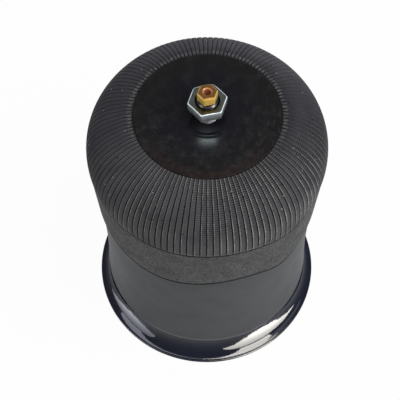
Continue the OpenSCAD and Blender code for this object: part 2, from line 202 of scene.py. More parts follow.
def net(
    name: str, points: Array, levels: dict[str, Array] | None = None, sharp: float = 50
) -> bpy.types.Object:
    """A closed mesh from a grid of points: its rows follow a closed outline, its columns go round the axis.

    The rows are turned round where the outline runs clockwise, so that every face looks outward. The
    outline's signed area, which is half the sum of r1 z2 less r2 z1 over its sides, tells which way it runs.

    Args:
        name: name of the new object.
        points: array of rows, columns and the three coordinates, in millimetres.
        levels: numbers for each point that a material reads, by their name.
        sharp: angle in degrees above which an edge is drawn sharp.

    Returns:
        The object, with its place in its mesh.
    """
    rows, columns = points.shape[:2]
    radius, height = np.hypot(points[:, 0, 0], points[:, 0, 1]), points[:, 0, 2]
    area = np.sum(radius * np.roll(height, -1) - np.roll(radius, -1) * height)
    order = np.arange(rows) if area > 0 else np.arange(rows)[::-1]
    index = np.arange(rows * columns).reshape(rows, columns)
    index = np.hstack([index, index[:, :1]])
    index = np.vstack([index, index[:1]])
    corners = [index[:-1, :-1], index[:-1, 1:], index[1:, 1:], index[1:, :-1]]
    quads = np.stack(corners, axis=-1).reshape(-1, 4)
    mesh = bpy.data.meshes.new(name)
    mesh.vertices.add(rows * columns)
    mesh.vertices.foreach_set("co", (points[order] * MM).astype(np.float32).ravel())
    mesh.loops.add(quads.size)
    mesh.loops.foreach_set("vertex_index", quads.astype(np.int32).ravel())
    mesh.polygons.add(len(quads))
    mesh.polygons.foreach_set("loop_start", np.arange(0, quads.size, 4, dtype=np.int32))
    mesh.update(calc_edges=True)
    for key, values in (levels or {}).items():
        layer = mesh.attributes.new(key, "FLOAT", "POINT")
        spread = np.broadcast_to(values, (rows, columns))[order]
        layer.data.foreach_set("value", spread.astype(np.float32).ravel())
    mesh.validate()
    mesh.shade_smooth()
    mesh.set_sharp_from_angle(angle=math.radians(sharp))
    piece = bpy.data.objects.new(name, mesh)
    bpy.context.scene.collection.objects.link(piece)
    return piece


def round_the_axis(outline: Array, turns: Array) -> Array:
    """The points of an outline carried round the axis.

    Args:
        outline: radius and height of each row, either the same at every angle or one for each.
        turns: the angle of each column.

    Returns:
        Rows, columns and coordinates: x is the radius times the cosine, y the radius times the sine.
    """
    rows = len(outline)
    wide = np.broadcast_to(outline.reshape(rows, -1, 2), (rows, len(turns), 2))
    radius, height = wide[..., 0], wide[..., 1]
    return np.stack([radius * np.cos(turns), radius * np.sin(turns), height], axis=-1)


def even_turns(count: int) -> Array:
    """Angles of evenly spaced columns."""
    return np.arange(count) * TURN / count


# The materials, written as sums of the levels that their nodes give.


@dataclass(frozen=True)
class Level:
    """One output of a node, with which a material's sums are written as plain expressions."""

    nodes: "Nodes"
    socket: bpy.types.NodeSocket

    def __add__(self, other: "float | Level") -> "Level":
        """Sum."""
        return self.nodes.sum_of("ADD", self, other)

    __radd__ = __add__

    def __sub__(self, other: "float | Level") -> "Level":
        """Difference."""
        return self.nodes.sum_of("SUBTRACT", self, other)

    def __rsub__(self, other: "float | Level") -> "Level":
        """Difference, with the number first."""
        return self.nodes.sum_of("SUBTRACT", other, self)

    def __mul__(self, other: "float | Level") -> "Level":
        """Product."""
        return self.nodes.sum_of("MULTIPLY", self, other)

    __rmul__ = __mul__

    def __pow__(self, other: float) -> "Level":
        """Power."""
        return self.nodes.sum_of("POWER", self, other)

    def wave(self) -> "Level":
        """Sine, moved to lie between 0 and 1."""
        return self.nodes.sum_of("SINE", self) * 0.5 + 0.5

    def between(self, low: float, high: float) -> "Level":
        """An eased rise, or a fall where low is the higher.

        Args:
            low: where it is 0.
            high: where it is 1.

        Returns:
            0 below low, 1 above high and a smooth step between them.
        """
        if low > high:
            return 1 - self.between(high, low)
        inputs = {0: self, 1: low, 2: high, 3: 0.0, 4: 1.0}
        return self.nodes.node("ShaderNodeMapRange", {"interpolation_type": "SMOOTHSTEP"}, inputs)


class Nodes:
    """A tree of nodes under construction."""

    def __init__(self, tree: bpy.types.NodeTree) -> None:
        """Empties the tree that is to be built."""
        self.tree = tree
        tree.nodes.clear()

    def add(self, kind: str, settings: dict | None = None, inputs: dict | None = None) -> bpy.types.Node:
        """Adds a node, as the one method that makes any.

        Args:
            kind: the node's type.
            settings: its properties, which are set first.
            inputs: a value or a level for each socket, by its name or number.

        Returns:
            The node.
        """
        made = self.tree.nodes.new(kind)
        for key, value in (settings or {}).items():
            setattr(made, key, value)
        for key, value in (inputs or {}).items():
            socket = made.inputs[key]
            if isinstance(value, Level):
                self.tree.links.new(value.socket, socket)
            elif isinstance(value, tuple) and socket.type == "RGBA":
                socket.default_value = (*value, 1.0)
            else:
                socket.default_value = value
        return made

    def node(
        self, kind: str, settings: dict | None = None, inputs: dict | None = None, output: int | str = 0
    ) -> Level:
        """Adds a node and picks one of its outputs.

        Args:
            kind: the node's type.
            settings: its properties.
            inputs: a value or a level for each socket, by its name or number.
            output: which of its outputs is wanted.

        Returns:
            That output.
        """
        return Level(self, self.add(kind, settings, inputs).outputs[output])

    def sum_of(self, operation: str, *values: "float | Level") -> Level:
        """A Math node on one, two or three values."""
        return self.node("ShaderNodeMath", {"operation": operation}, dict(enumerate(values)))

    def seen(self) -> Level:
        """1 where the camera, a reflection or a view through glass looks, and 0 for all other light.

        Returns:
            The highest of the three levels of the ray's path.
        """
        path = self.add("ShaderNodeLightPath").outputs
        wanted = ("Is Camera Ray", "Is Glossy Ray", "Is Transmission Ray")
        camera, gloss, glass = (Level(self, path[name]) for name in wanted)
        return self.sum_of("MAXIMUM", camera, self.sum_of("MAXIMUM", gloss, glass))


class Paint(Nodes):
    """A material under construction."""

    def __init__(self, name: str) -> None:
        """Starts an empty material.

        Args:
            name: the material's name.
        """
        self.material = bpy.data.materials.new(name)
        self.material.use_nodes = True
        super().__init__(self.material.node_tree)

    def place(self) -> Level:
        """The point in the object's own coordinates, in metres."""
        return self.node("ShaderNodeTexCoord", output="Object")

    def axes(self) -> tuple[Level, Level, Level]:
        """The point's three coordinates in millimetres."""
        split = self.add("ShaderNodeSeparateXYZ", inputs={0: self.place()})
        return tuple(Level(self, output) * (1 / MM) for output in split.outputs)

    def toward(self, right: float, front: float) -> Level:
        """How far the point lies that way, in millimetres: x times right, less y times front."""
        x, y, _ = self.axes()
        return x * right - y * front

    def radius(self) -> Level:
        """The point's distance from the axis in millimetres: the root of x squared plus y squared."""
        x, y, _ = self.axes()
        return (x * x + y * y) ** 0.5

    def stored(self, name: str) -> Level:
        """A number that the mesh carries for each of its points."""
        return self.node("ShaderNodeAttribute", {"attribute_name": name}, output="Fac")

    def stretched(self, along: tuple[float, float, float]) -> Level:
        """The point with each axis scaled, for a grain that is longer one way."""
        return self.node("ShaderNodeMapping", inputs={"Vector": self.place(), "Scale": along})

    def noise(self, grain_mm: float, detail: float = 2, at: Level | None = None, soft: float = 0.5) -> Level:
        """Noise of one grain.

        Args:
            grain_mm: size of its grains.
            detail: how many finer layers it has.
            at: the point that it is read at, or None for the object's own coordinates.
            soft: how strong each finer layer is beside the last one.

        Returns:
            A level between 0 and 1.
        """
        inputs = {"Vector": at or self.place(), "Scale": 1 / (grain_mm * MM)}
        inputs |= {"Detail": detail, "Roughness": soft}
        return self.node("ShaderNodeTexNoise", inputs=inputs)

    def specks(self, pitch_mm: float, radius: float) -> Level:
        """Scattered dots.

        Args:
            pitch_mm: how far apart they are.
            radius: their radius as a share of the pitch.

        Returns:
            1 in each dot and 0 between them, with a soft edge over the outer two fifths.
        """
        inputs = {"Vector": self.place(), "Scale": 1 / (pitch_mm * MM)}
        cells = self.node("ShaderNodeTexVoronoi", inputs=inputs, output="Distance")
        return cells.between(radius, radius * 0.6)

    def mixed(self, share: "float | Level", first: "Colour | Level", second: "Colour | Level") -> Level:
        """The first colour where the share is 0, the second where it is 1."""
        return self.node("ShaderNodeMix", {"data_type": "RGBA"}, {0: share, 6: first, 7: second}, 2)

    def bump(self, height: Level, depth_mm: float, under: Level | None = None) -> Level:
        """A normal from a height between 0 and 1.

        Args:
            height: the height.
            depth_mm: the depth that it stands for.
            under: a normal that it is laid on, if any.

        Returns:
            The normal.
        """
        inputs = {"Height": height, "Strength": 1.0, "Distance": depth_mm * MM}
        if under:
            inputs["Normal"] = under
        return self.node("ShaderNodeBump", inputs=inputs)

    def finish(self, **sockets: "float | Colour | Level") -> bpy.types.Material:
        """Closes the material with a Principled shader.

        Args:
            sockets: a value or a level for each of the shader's sockets, with _ for a space in its name.

        Returns:
            The material.
        """
        named = {key.replace("_", " "): value for key, value in sockets.items()}
        return self.closed(self.node("ShaderNodeBsdfPrincipled", inputs=named))

    def closed(self, shader: Level) -> bpy.types.Material:
        """The material, with that shader as its surface."""
        self.add("ShaderNodeOutputMaterial", inputs={"Surface": shader})
        return self.material


@dataclass(frozen=True)
class BellowsRubber:
    """Matt rubber: grey ribs, grooves with painted shade, a fine cross grain near the plate and a rough cuff.

    The mesh says where the ribs, the edges with a painted highlight, the cuff and the painted shadow lines
    are, and how far a point lies from the plate's edge. The painted highlight is strongest at the front.
    Fields in millimetres are places on the bellows.

    Args:
        groove: colour of the grooves at the front: painted shade, darkest there.
        shallow: colour of the grooves at the back and the left: painted shade, lighter there.
        groove_shade_right: colour of the grooves at the right: painted shade, lighter there.
        rib: colour of the ribs.
        paler: colour of the ribs at the back: painted light.
        lit: colour of the ribs at the front: painted light.
        edge: colour of the painted highlights on the ribs' edges and ends.
        hatch: colour of the lines that cross the ribs.
        groove_end_shade: colour of the grooves' ends beside the plate: painted shade.
        shade: colour of the ribs' ends beside the plate: painted shade.
        cuff: colour of the cuff's raised grain.
        pit: colour between that grain.
        cloud: colour of wide dark clouds.
        crumb: colour of pale specks.
        dark: colour of the painted shadow lines over and under the cuff, of the dots and of dark specks.
        front_mm: from where to where, towards the front, the colours become those of the front.
        back_mm: the same for the back.
        right_mm: the same for the right.
        left_mm: from where to where, towards the left, the ribs' upper ends get a painted highlight.
        sides_mm: from where to where, towards the back, the grooves' ends beside the plate get painted shade
            and the ribs' tips a painted highlight.
        hatched_mm: from where to where, towards the front right, the cross lines strengthen.
        hatch_pitch_mm: how far apart the cross lines are.
        hatch_reach_mm: where they have gone and where they are full, as ways down from the plate.
        drift_mm: size of the dark clouds.
        patch_mm: size of the patches that break up the cross lines, the painted highlights and the dots.
        fleck_mm: size of the flecks in the painted highlights.
        pebble_mm: size of the cuff's pebbles.
        relief_mm: depths of the cross lines, of the fine grain and of the pebbles.
    """

    # Painted shade: the grooves are painted dark, darkest at the front.
    groove: Colour = srgb(24, 24, 26)
    shallow: Colour = srgb(50, 50, 54)
    groove_shade_right: Colour = srgb(64, 64, 68)
    rib: Colour = srgb(65, 64, 69)
    # Painted light: the ribs are painted paler at the back and lighter at the front.
    paler: Colour = srgb(83, 82, 88)
    lit: Colour = srgb(88, 87, 89)
    # Painted highlight on one edge of each rib and on the ribs' ends.
    edge: Colour = srgb(178, 177, 175)
    hatch: Colour = srgb(20, 20, 22)
    # Painted shade at the grooves' ends and on the ribs beside the plate.
    groove_end_shade: Colour = srgb(10, 10, 12)
    shade: Colour = srgb(34, 34, 37)
    cuff: Colour = srgb(105, 105, 105)
    pit: Colour = srgb(79, 79, 81)
    cloud: Colour = srgb(46, 46, 51)
    crumb: Colour = srgb(190, 188, 182)
    # Dark specks and dots, and the painted shadow lines over and under the cuff.
    dark: Colour = srgb(16, 16, 18)
    front_mm: Span = (0, 55)
    back_mm: Span = (15, 55)
    right_mm: Span = (15, 55)
    left_mm: Span = (0, 34)
    sides_mm: Span = (-34, 4)
    hatched_mm: Span = (-12, 45)
    hatch_pitch_mm: float = 1.2
    hatch_reach_mm: Span = (44, 26)
    drift_mm: float = 9
    patch_mm: float = 26
    fleck_mm: float = 1.4
    pebble_mm: float = 0.8
    relief_mm: tuple[float, float, float] = (0.1, 0.04, 0.45)

    def hatching(self, p: Paint) -> tuple[Level, Level]:
        """The fine lines across the ribs: a wave of the way down a rib, strongest near the plate.

        Args:
            p: the material.

        Returns:
            The lines, and where they are strong, which is the front right.
        """
        along = p.stored("along")
        lines = (along * (TURN / self.hatch_pitch_mm)).wave() * along.between(*self.hatch_reach_mm)
        return lines * p.stored("ridge"), p.toward(0.5, 0.87).between(*self.hatched_mm)

    def ribbed(self, p: Paint, patchy: Level) -> Level:
        """Colour of the ribs and grooves, with painted light by side, painted shade in the grooves and at
        the ribs' ends beside the plate, and painted highlights on the ribs' edges and ends.

        Args:
            p: the material.
            patchy: wide patches that weaken the lines and the painted highlights.

        Returns:
            The colour.
        """
        ridge, worn, along = p.stored("ridge"), p.stored("worn"), p.stored("along")
        x, y, _ = p.axes()
        front = p.toward(0.1, 1.0).between(*self.front_mm)
        lines, hatched = self.hatching(p)
        fleck = p.noise(self.fleck_mm).between(0.3, 0.62)
        # Painted light: the ribs' crowns are lighter at the front and paler at the back than at the sides.
        crown = p.mixed(front, p.mixed(y.between(*self.back_mm), self.rib, self.paler), self.lit)
        # Painted shade in the grooves, darkest at the front and lighter at the back, left and right.
        low = p.mixed(front, p.mixed(x.between(*self.right_mm), self.shallow, self.groove_shade_right), self.groove)
        ribs = p.mixed(ridge.between(0.1, 0.8), low, crown)
        ribs = p.mixed(lines * (0.5 + 0.5 * patchy) * (0.12 + 0.88 * hatched), ribs, self.hatch)
        # Painted highlight along one edge of each rib, strongest at the front, broken up in patches and
        # flecks.
        edge_highlight = worn * (0.2 + 0.8 * patchy) * (0.08 + 0.92 * front) * (0.35 + 0.65 * fleck)
        ribs = p.mixed(edge_highlight, ribs, self.edge)
        # Painted highlight on the ribs' upper ends at the left.
        rubbed = worn * along.between(9, 2) * p.toward(-0.8, 0.4).between(*self.left_mm)
        ribs = p.mixed(rubbed * 0.6, ribs, self.edge)
        sides = y.between(*self.sides_mm)
        # Painted shade at the grooves' ends beside the plate towards the back, and on the ribs near the plate
        # away from the front.
        ribs = p.mixed(along.between(5.5, 0.8) * sides * ridge.between(1.0, 0.7), ribs, self.groove_end_shade)
        ribs = p.mixed(along.between(11, 1) * (1 - front) * 0.5, ribs, self.shade)
        # Painted highlight on the ribs' tips beside the plate, towards the back.
        tip_highlight = along.between(4, 1.5) * along.between(0.2, 1.2) * sides * ridge.between(0.9, 1.0)
        return p.mixed(tip_highlight * 0.2 * fleck, ribs, self.edge)

    def soiled_and_shaded(self, p: Paint, base: Level, drift: Level, patchy: Level) -> Level:
        """Lays clouds, dots, painted shadow lines and specks over a colour.

        Args:
            p: the material.
            base: the colour.
            drift: where the clouds are.
            patchy: where the dots along the ribs' ends show.

        Returns:
            The colour with clouds, dots, painted shadow lines and specks.
        """
        base = p.mixed(drift.between(0.35, 0.75) * 0.3, base, self.cloud)
        base = p.mixed(p.stored("dots") * patchy, base, self.dark)
        # Painted shadow lines in the crease over the cuff and along the cuff's lower edge.
        base = p.mixed(p.stored("seam_shadow"), base, self.dark)
        base = p.mixed(p.specks(7.3, 0.06) * 0.7, base, self.crumb)
        return p.mixed(p.specks(5.9, 0.09), base, self.dark)

    def relief(self, p: Paint) -> Level:
        """Cross lines and a fine grain on the ribs, and pebbles on the cuff.

        Args:
            p: the material.

        Returns:
            The normal.
        """
        lines, hatched = self.hatching(p)
        deep, fine, rough = self.relief_mm
        ribs = p.bump(lines * hatched, deep, p.bump(p.noise(0.45, 3), fine))
        pebbles = p.bump(p.noise(self.pebble_mm, 4, soft=0.65), rough, ribs)
        return p.node("ShaderNodeMix", {"data_type": "VECTOR"}, {0: p.stored("cuff"), 4: ribs, 5: pebbles}, 1)

    def material(self) -> bpy.types.Material:
        """Makes the material.

        Returns:
            Rubber whose ribs, cuff, wear and seams follow the numbers that the mesh carries.
        """
        p = Paint("bellows rubber")
        drift, patchy = p.noise(self.drift_mm, 3), p.noise(self.patch_mm).between(0.36, 0.6)
        rough = p.mixed(p.noise(1.5, 4, soft=0.7).between(0.38, 0.62), self.cuff, self.pit)
        base = p.mixed(p.stored("cuff"), self.ribbed(p, patchy), rough)
        return p.finish(
            Base_Color=self.soiled_and_shaded(p, base, drift, patchy), Roughness=0.5 + drift * 0.16,
            Normal=self.relief(p), Specular_IOR_Level=0.02,
        )


@dataclass(frozen=True)
class SatinCoat:
    """The can's dark satin coating, with faint streaks round it and a painted highlight along its foot."""

    tone: Colour = srgb(81, 83, 86)
    worn: Colour = srgb(94, 91, 88)
    cloud: Colour = srgb(64, 66, 70)
    fleck: Colour = srgb(52, 54, 58)
    # Painted highlight along the can's foot.
    foot: Colour = srgb(176, 176, 176)
    speck: Colour = srgb(120, 120, 118)
    streak_mm: float = 2.2
    streak_scale: tuple[float, float, float] = (0.35, 0.35, 2.2)
    cloud_mm: float = 16
    fleck_mm: float = 0.7

    def material(self) -> bpy.types.Material:
        """Makes the material.

        Returns:
            The coating, whose painted highlight follows the "foot" number that the mesh carries.
        """
        p = Paint("satin can coating")
        streak = p.noise(self.streak_mm, 3, p.stretched(self.streak_scale))
        cloud = p.noise(self.cloud_mm, 3)
        base = p.mixed(streak.between(0.45, 0.8) * 0.3, self.tone, self.worn)
        base = p.mixed(cloud.between(0.4, 0.8) * 0.25, base, self.cloud)
        base = p.mixed(p.noise(self.fleck_mm, 3).between(0.5, 0.75) * 0.35, base, self.fleck)
        # Painted highlight along the can's rounded foot.
        base = p.mixed(p.stored("foot") * 0.55, base, self.foot)
        base = p.mixed(p.specks(5.3, 0.06) * 0.3, base, self.speck)
        normal = p.bump(p.noise(0.3), 0.012, p.bump(streak, 0.02))
        return p.finish(Base_Color=base, Roughness=0.4 + cloud * 0.12, Normal=normal, Specular_IOR_Level=0.04)


@dataclass(frozen=True)
class GlossLacquer:
    """Gloss black lacquer with a blue cast and a slight orange peel."""

    tone: Colour = srgb(12, 17, 36)
    cloud: Colour = srgb(18, 23, 41)
    speck: Colour = srgb(100, 102, 106)
    cloud_mm: float = 14
    peel_mm: float = 5
    peel_depth_mm: float = 0.07

    def material(self) -> bpy.types.Material:
        """Makes the material.

        Returns:
            The lacquer, whose orange peel is a shallow bump.
        """
        p = Paint("gloss black lacquer")
        cloud = p.noise(self.cloud_mm, 3)
        base = p.mixed(cloud.between(0.35, 0.75), self.tone, self.cloud)
        base = p.mixed(p.specks(4.3, 0.05) * 0.2, base, self.speck)
        normal = p.bump(p.noise(self.peel_mm, 3), self.peel_depth_mm)
        roughness = 0.05 + cloud * 0.05
        return p.finish(Base_Color=base, Roughness=roughness, Normal=normal, Specular_IOR_Level=0.13)


@dataclass(frozen=True)
class PlateLacquer:
    """The top plate's semi-gloss black, with dust at the front, wipe marks and a browner front edge.

    Fields in millimetres are distances from the axis, or towards the front or the right.
    """

    tone: Colour = srgb(22, 22, 28)
    ring: Colour = srgb(26, 25, 26)
    cloud: Colour = srgb(42, 40, 39)
    dust: Colour = srgb(58, 57, 58)
    brown: Colour = srgb(56, 40, 37)
    speck: Colour = srgb(80, 80, 78)
    ring_mm: Span = (20, 38)
    dusty_mm: Span = (8, 30)
    dusty_front_mm: Span = (-22, 14)
    wiped_right_mm: Span = (8, 26)
    wipe_scale: tuple[float, float, float] = (1.0, 0.22, 1.0)
    rim_mm: Span = (33, 38)
    rim_front_mm: Span = (10, 34)
    turned_mm: float = 0.55
    turned_depth_mm: float = 0.00015
    grain_depth_mm: float = 0.0012

    def material(self) -> bpy.types.Material:
        """Makes the material.

        Returns:
            The lacquer, with rings as from a lathe in its normal.
        """
        p = Paint("semi-gloss plate black")
        radius, front, cloud = p.radius(), p.toward(0.0, 1.0), p.noise(7, 4)
        base = p.mixed(radius.between(*self.ring_mm), self.tone, self.ring)
        base = p.mixed(cloud.between(0.42, 0.8) * 0.5, base, self.cloud)
        paler = radius.between(*self.dusty_mm) * front.between(*self.dusty_front_mm)
        base = p.mixed(p.noise(3.4, 4, soft=0.7).between(0.44, 0.74) * paler * 0.45, base, self.dust)
        wiped = p.noise(1.6, at=p.stretched(self.wipe_scale)).between(0.55, 0.75)
        base = p.mixed(wiped * p.axes()[0].between(*self.wiped_right_mm) * 0.22, base, self.dust)
        rim = radius.between(*self.rim_mm) * front.between(*self.rim_front_mm)
        base = p.mixed(rim * p.noise(3, 3).between(0.35, 0.6) * 0.4, base, self.brown)
        base = p.mixed(p.specks(3.7, 0.06) * 0.25, base, self.speck)
        turned = (radius * (TURN / self.turned_mm)).wave()
        normal = p.bump(turned, self.turned_depth_mm, p.bump(p.noise(0.5, 3), self.grain_depth_mm))
        roughness = 0.05 + cloud * 0.015
        return p.finish(Base_Color=base, Roughness=roughness, Normal=normal, Specular_IOR_Level=0.045)


@dataclass(frozen=True)
class Metal:
    """A bare or plated metal with a turned grain and clouds of a second tone.

    Args:
        name: the material's name.
        tone: colour where the mesh's "bright" level is 1, which is a painted highlight, or all over if it
            carries none.
        second: colour of the clouds.
        dark_reflection: colour where that level is 0: a painted dark reflection.
        stain: colour of the oxide where the mesh's "oxide" level is 1.
        roughness: least roughness.
        cloud_mm: size of the clouds.
        grain_mm: how far apart the turned rings are.
        depth_mm: how deep the rings and the grain are.
        frost: how much of the painted highlight scatters light as a frosted surface does.
    """

    name: str
    tone: Colour
    second: Colour
    dark_reflection: Colour | None = None
    stain: Colour | None = None
    roughness: float = 0.24
    cloud_mm: float = 3.0
    grain_mm: float = 0.22
    depth_mm: float = 0.005
    frost: float = 0.6

    def material(self) -> bpy.types.Material:
        """Makes the material.

        Returns:
            The metal, with a painted highlight, a painted dark reflection and oxide where the mesh says.
        """
        p = Paint(self.name)
        cloud = p.noise(self.cloud_mm, 4)
        turned = (p.radius() * (TURN / self.grain_mm) + p.noise(1.5) * 5).wave()
        base = p.mixed(cloud.between(0.35, 0.7), self.tone, self.second)
        metallic = 1.0
        # Painted light: a painted highlight where the mesh's level is high, a painted dark reflection where
        # it is low.
        if self.dark_reflection:
            bright = p.stored("bright")
            base = p.mixed(bright, p.mixed(cloud * 0.12, self.dark_reflection, self.second), base)
            metallic = 1 - bright * self.frost
        if self.stain:
            oxide = p.stored("oxide")
            base, metallic = p.mixed(oxide, base, self.stain), metallic * (1 - oxide * 0.85)
        normal = p.bump(turned, self.depth_mm, p.bump(p.noise(0.25, 3), self.depth_mm))
        roughness = self.roughness + cloud * 0.12
        return p.finish(Base_Color=base, Metallic=metallic, Roughness=roughness, Normal=normal)


@dataclass(frozen=True)
class Moulded:
    """A moulded rubber, foam or plastic with a fine grain, whose clouds are eight grains wide."""

    name: str
    tone: Colour
    second: Colour
    roughness: float = 0.5
    grain_mm: float = 0.4
    depth_mm: float = 0.03

    def material(self) -> bpy.types.Material:
        """Makes the material.

        Returns:
            The rubber, foam or plastic, with its grain as a bump.
        """
        p = Paint(self.name)
        cloud = p.noise(self.grain_mm * 8, 3)
        grain = p.noise(self.grain_mm, 3)
        base = p.mixed(cloud.between(0.35, 0.7), self.tone, self.second)
        base = p.mixed(grain.between(0.5, 0.8) * 0.3, base, self.second)
        normal = p.bump(grain, self.depth_mm)
        roughness = self.roughness + grain * 0.15
        return p.finish(Base_Color=base, Roughness=roughness, Normal=normal, Specular_IOR_Level=0.3)


class Finish(Enum):
    """The finishes of the spring. The value is what makes the material."""

    BELLOWS = BellowsRubber()
    CAN = SatinCoat()
    FLANGE = GlossLacquer()
    PLATE = PlateLacquer()
    PAN = Moulded("black dip coating", srgb(38, 39, 41), srgb(48, 49, 52), 0.38, 0.6, 0.01)
    # The zinc, stud and brass tones are painted light: bright ones for painted highlights, dark ones for
    # painted dark reflections.
    ZINC = Metal(
        "bright zinc plating", srgb(238, 246, 250), srgb(208, 216, 220), dark_reflection=srgb(46, 50, 43), roughness=0.2
    )
    STUD = Metal(
        "zinc of the stud", srgb(166, 162, 164), srgb(112, 108, 112), dark_reflection=srgb(15, 13, 17), roughness=0.26
    )
    STEEL = Metal("turned steel", srgb(172, 172, 174), srgb(140, 140, 142), roughness=0.28)
    BRASS = Metal(
        "turned brass", srgb(255, 218, 112), srgb(252, 200, 92), dark_reflection=srgb(86, 54, 35),
        stain=srgb(186, 124, 84), roughness=0.16, cloud_mm=2.5,
    )
    SEAL = Moulded("smooth seal rubber", srgb(24, 24, 25), srgb(32, 32, 33), 0.4, 0.3, 0.01)
    FOAM = Moulded("cellular foam", srgb(118, 108, 84), srgb(96, 88, 68), 0.8, 0.7, 0.12)
    NYLON = Moulded("black nylon", srgb(30, 30, 31), srgb(38, 38, 40), 0.45, 0.5, 0.02)
    PALE_NYLON = Moulded("natural nylon", srgb(226, 221, 208), srgb(210, 204, 190), 0.4, 0.5, 0.01)

    @cache
    def material(self) -> bpy.types.Material:
        """The finish's material, made at its first use."""
        return self.value.material()


def dress(piece: bpy.types.Object, finish: Finish) -> None:
    """Gives a piece one finish all over."""
    piece.data.materials.clear()
    piece.data.materials.append(finish.material())


def stand_for(piece: bpy.types.Object, node: str, body: str, finish: Finish) -> None:
    """Lets a new piece take the place of a node of the frame.

    Args:
        piece: the new piece, in place.
        node: the node that it stands for.
        body: the body that it moves with.
        finish: its finish.
    """
    dress(piece, finish)
    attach(piece, body)
    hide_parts(node)
    log.info("%s: %d faces", piece.name, len(piece.data.polygons))


# The pieces, from the rubber and the base to the top end. Their sizes are in millimetres.


@dataclass
class Bellows:
    """The rubber bellows: an upper bead, a round shoulder with meridional ribs, and the cuff on the can.

    The shoulder is an arc about a circle round the axis, and each rib stands out from it along the arc's
    own radius. Its edges are trimmed by hand, so they sag here and there.

    Args:
        ribs: how many ribs there are.
        rib_height: how far they stand out of the grooves' floor.
        rib_share: a rib's share of its pitch.
        rib_rows: how many rows the ribs have.
        arc: radius of the arc that the ribs' crowns lie on.
        solid_floor: radius of the arc that passes under the plate's edge.
        plate_edge: where that arc meets the plate, as a distance from the axis.
        tuck: how far above the plate's underside it meets it.
        wall: thickness of the rubber.
        drop: how far the ribs reach below the arc's centre.
        band: height of the smooth band that closes them.
        mouth: radius of the upper opening.
        seat: inner radius on the can.
        seat_step: depth of the groove in the seat that holds the steel ring.
        ring_drop: how far that groove's ends lie below the ribs.
        cuff_top: outer radius of the cuff at its top.
        cuff_low: outer radius of the cuff at its foot.
        cuff_inner: radius at which the cuff's lower edge turns in.
        cuff_drop: how far the cuff starts below the ribs.
        cuff_round: radius of the cuff's lower edge.
        cuff_shares: the cuff's rows, as shares of its height. The last ones draw the painted shadow line.
        crease: for each row of the crease between ribs and cuff, how far in and how far down it lies.
        bead: inner and outer radius of the upper bead.
        bead_edge: for each point of the bead's rounded edges, how far in and how far up it lies.
        bead_depth: how far it hangs below the plate.
        bead_gap: how far the rubber stays below the plate.
        lining_ends: how far above the arc's centre the inner side starts and how far past the mouth
            it ends, as angles.
        lower_end_highlight: least painted highlight along the ribs' lower ends, and the share of a rib's
            edge highlight that they keep.
        seam_shadows: how dark the painted shadow lines over and under the cuff are.
        follows_to: how far outside the mouth the share worked out by join_ends stays 1.
        still_from: radius from which that share is 0.
        still_below: how far below the plate it is 0 as well.
        far: way from the plate that stands for all that isn't on the shoulder.
        sag_fade: height over which the sag of the ribs' ends fades out upward.
        rib_sags: angle and width in degrees, and depth, of each sag of the ribs' ends.
        cuff_sags: the same for the cuff's lower edge.
        ripple: height of the cuff's small waves, of which there are seven.
    """

    ribs: int = 120
    rib_height: float = 0.4
    rib_share: float = 0.76
    rib_rows: int = 50
    arc: float = 30.9
    solid_floor: float = 30.1
    plate_edge: float = 40.6
    tuck: float = 0.3
    wall: float = 3.2
    drop: float = 4.0
    band: float = 0.5
    mouth: float = 40.85
    seat: float = 62.65
    seat_step: float = 1.2
    ring_drop: Span = (5.05, 2.45)
    cuff_top: float = 68.4
    cuff_low: float = 66.9
    cuff_inner: float = 65.35
    cuff_drop: float = 2.1
    cuff_round: float = 0.8
    cuff_shares: tuple[float, ...] = (0.0, 0.15, 0.3, 0.45, 0.6, 0.75, 0.88, 0.945, 0.968, 1.0)
    crease: tuple[Span, ...] = ((0.45, 0.4), (0.0, 1.5))
    bead: Span = (32.0, 39.6)
    bead_edge: tuple[Span, ...] = ((0.0, 1.6), (0.6, 0.5), (1.8, 0.0))
    bead_depth: float = 9.7
    bead_gap: float = 0.25
    lining_ends: Span = (0.06, 0.05)
    lower_end_highlight: Span = (0.45, 0.8)
    seam_shadows: Span = (0.85, 0.9)
    follows_to: float = 1.0
    still_from: float = 68.0
    still_below: float = 30.0
    far: float = 60.0
    sag_fade: float = 16.0
    rib_sags: tuple[tuple[float, float, float], ...] = ((-118, 30, 1.2), (-47, 15, 5.0), (80, 40, 1.5))
    cuff_sags: tuple[tuple[float, float, float], ...] = ((-116, 26, 6.0), (-47, 15, 9.0), (80, 45, 4.0))
    ripple: float = 0.25

    def __post_init__(self) -> None:
        """Places the arc on the frame: it ends at the bellows' widest place and passes the plate's edge."""
        high = high_of("bellows")
        self.foot_z: float = low_of("bellows").z
        self.plate_z: float = low_of("top_plate").z
        self.arc_r: float = round(max(high.x, high.y) * 10) / 10 - self.arc
        rise = math.sqrt(self.solid_floor**2 - (self.plate_edge - self.arc_r) ** 2)
        self.arc_z: float = self.plate_z + self.tuck - rise
        self.rib_end_z: float = self.arc_z - self.drop
        self.floor: float = self.arc - self.rib_height

    def columns(self) -> tuple[Array, Array, Array]:
        """The columns of the ribs: eight to a pitch, close together at the rounded edges of a rib.

        Returns:
            The angle of each, its height over the grooves' floor from 0 to 1, and its share of painted
            highlight, which is 1 beside one edge of each rib.
        """
        left, right = -self.rib_share / 2, self.rib_share / 2
        rise = [left - 0.03, left + 0.005, left + 0.06, left + 0.16]
        fall = [right - 0.07, right - 0.005, right + 0.03]
        phase = np.array([-0.5, *rise, *fall])
        height = np.array([0.0, 0.05, 0.82, 1.0, 1.0, 1.0, 0.82, 0.05])
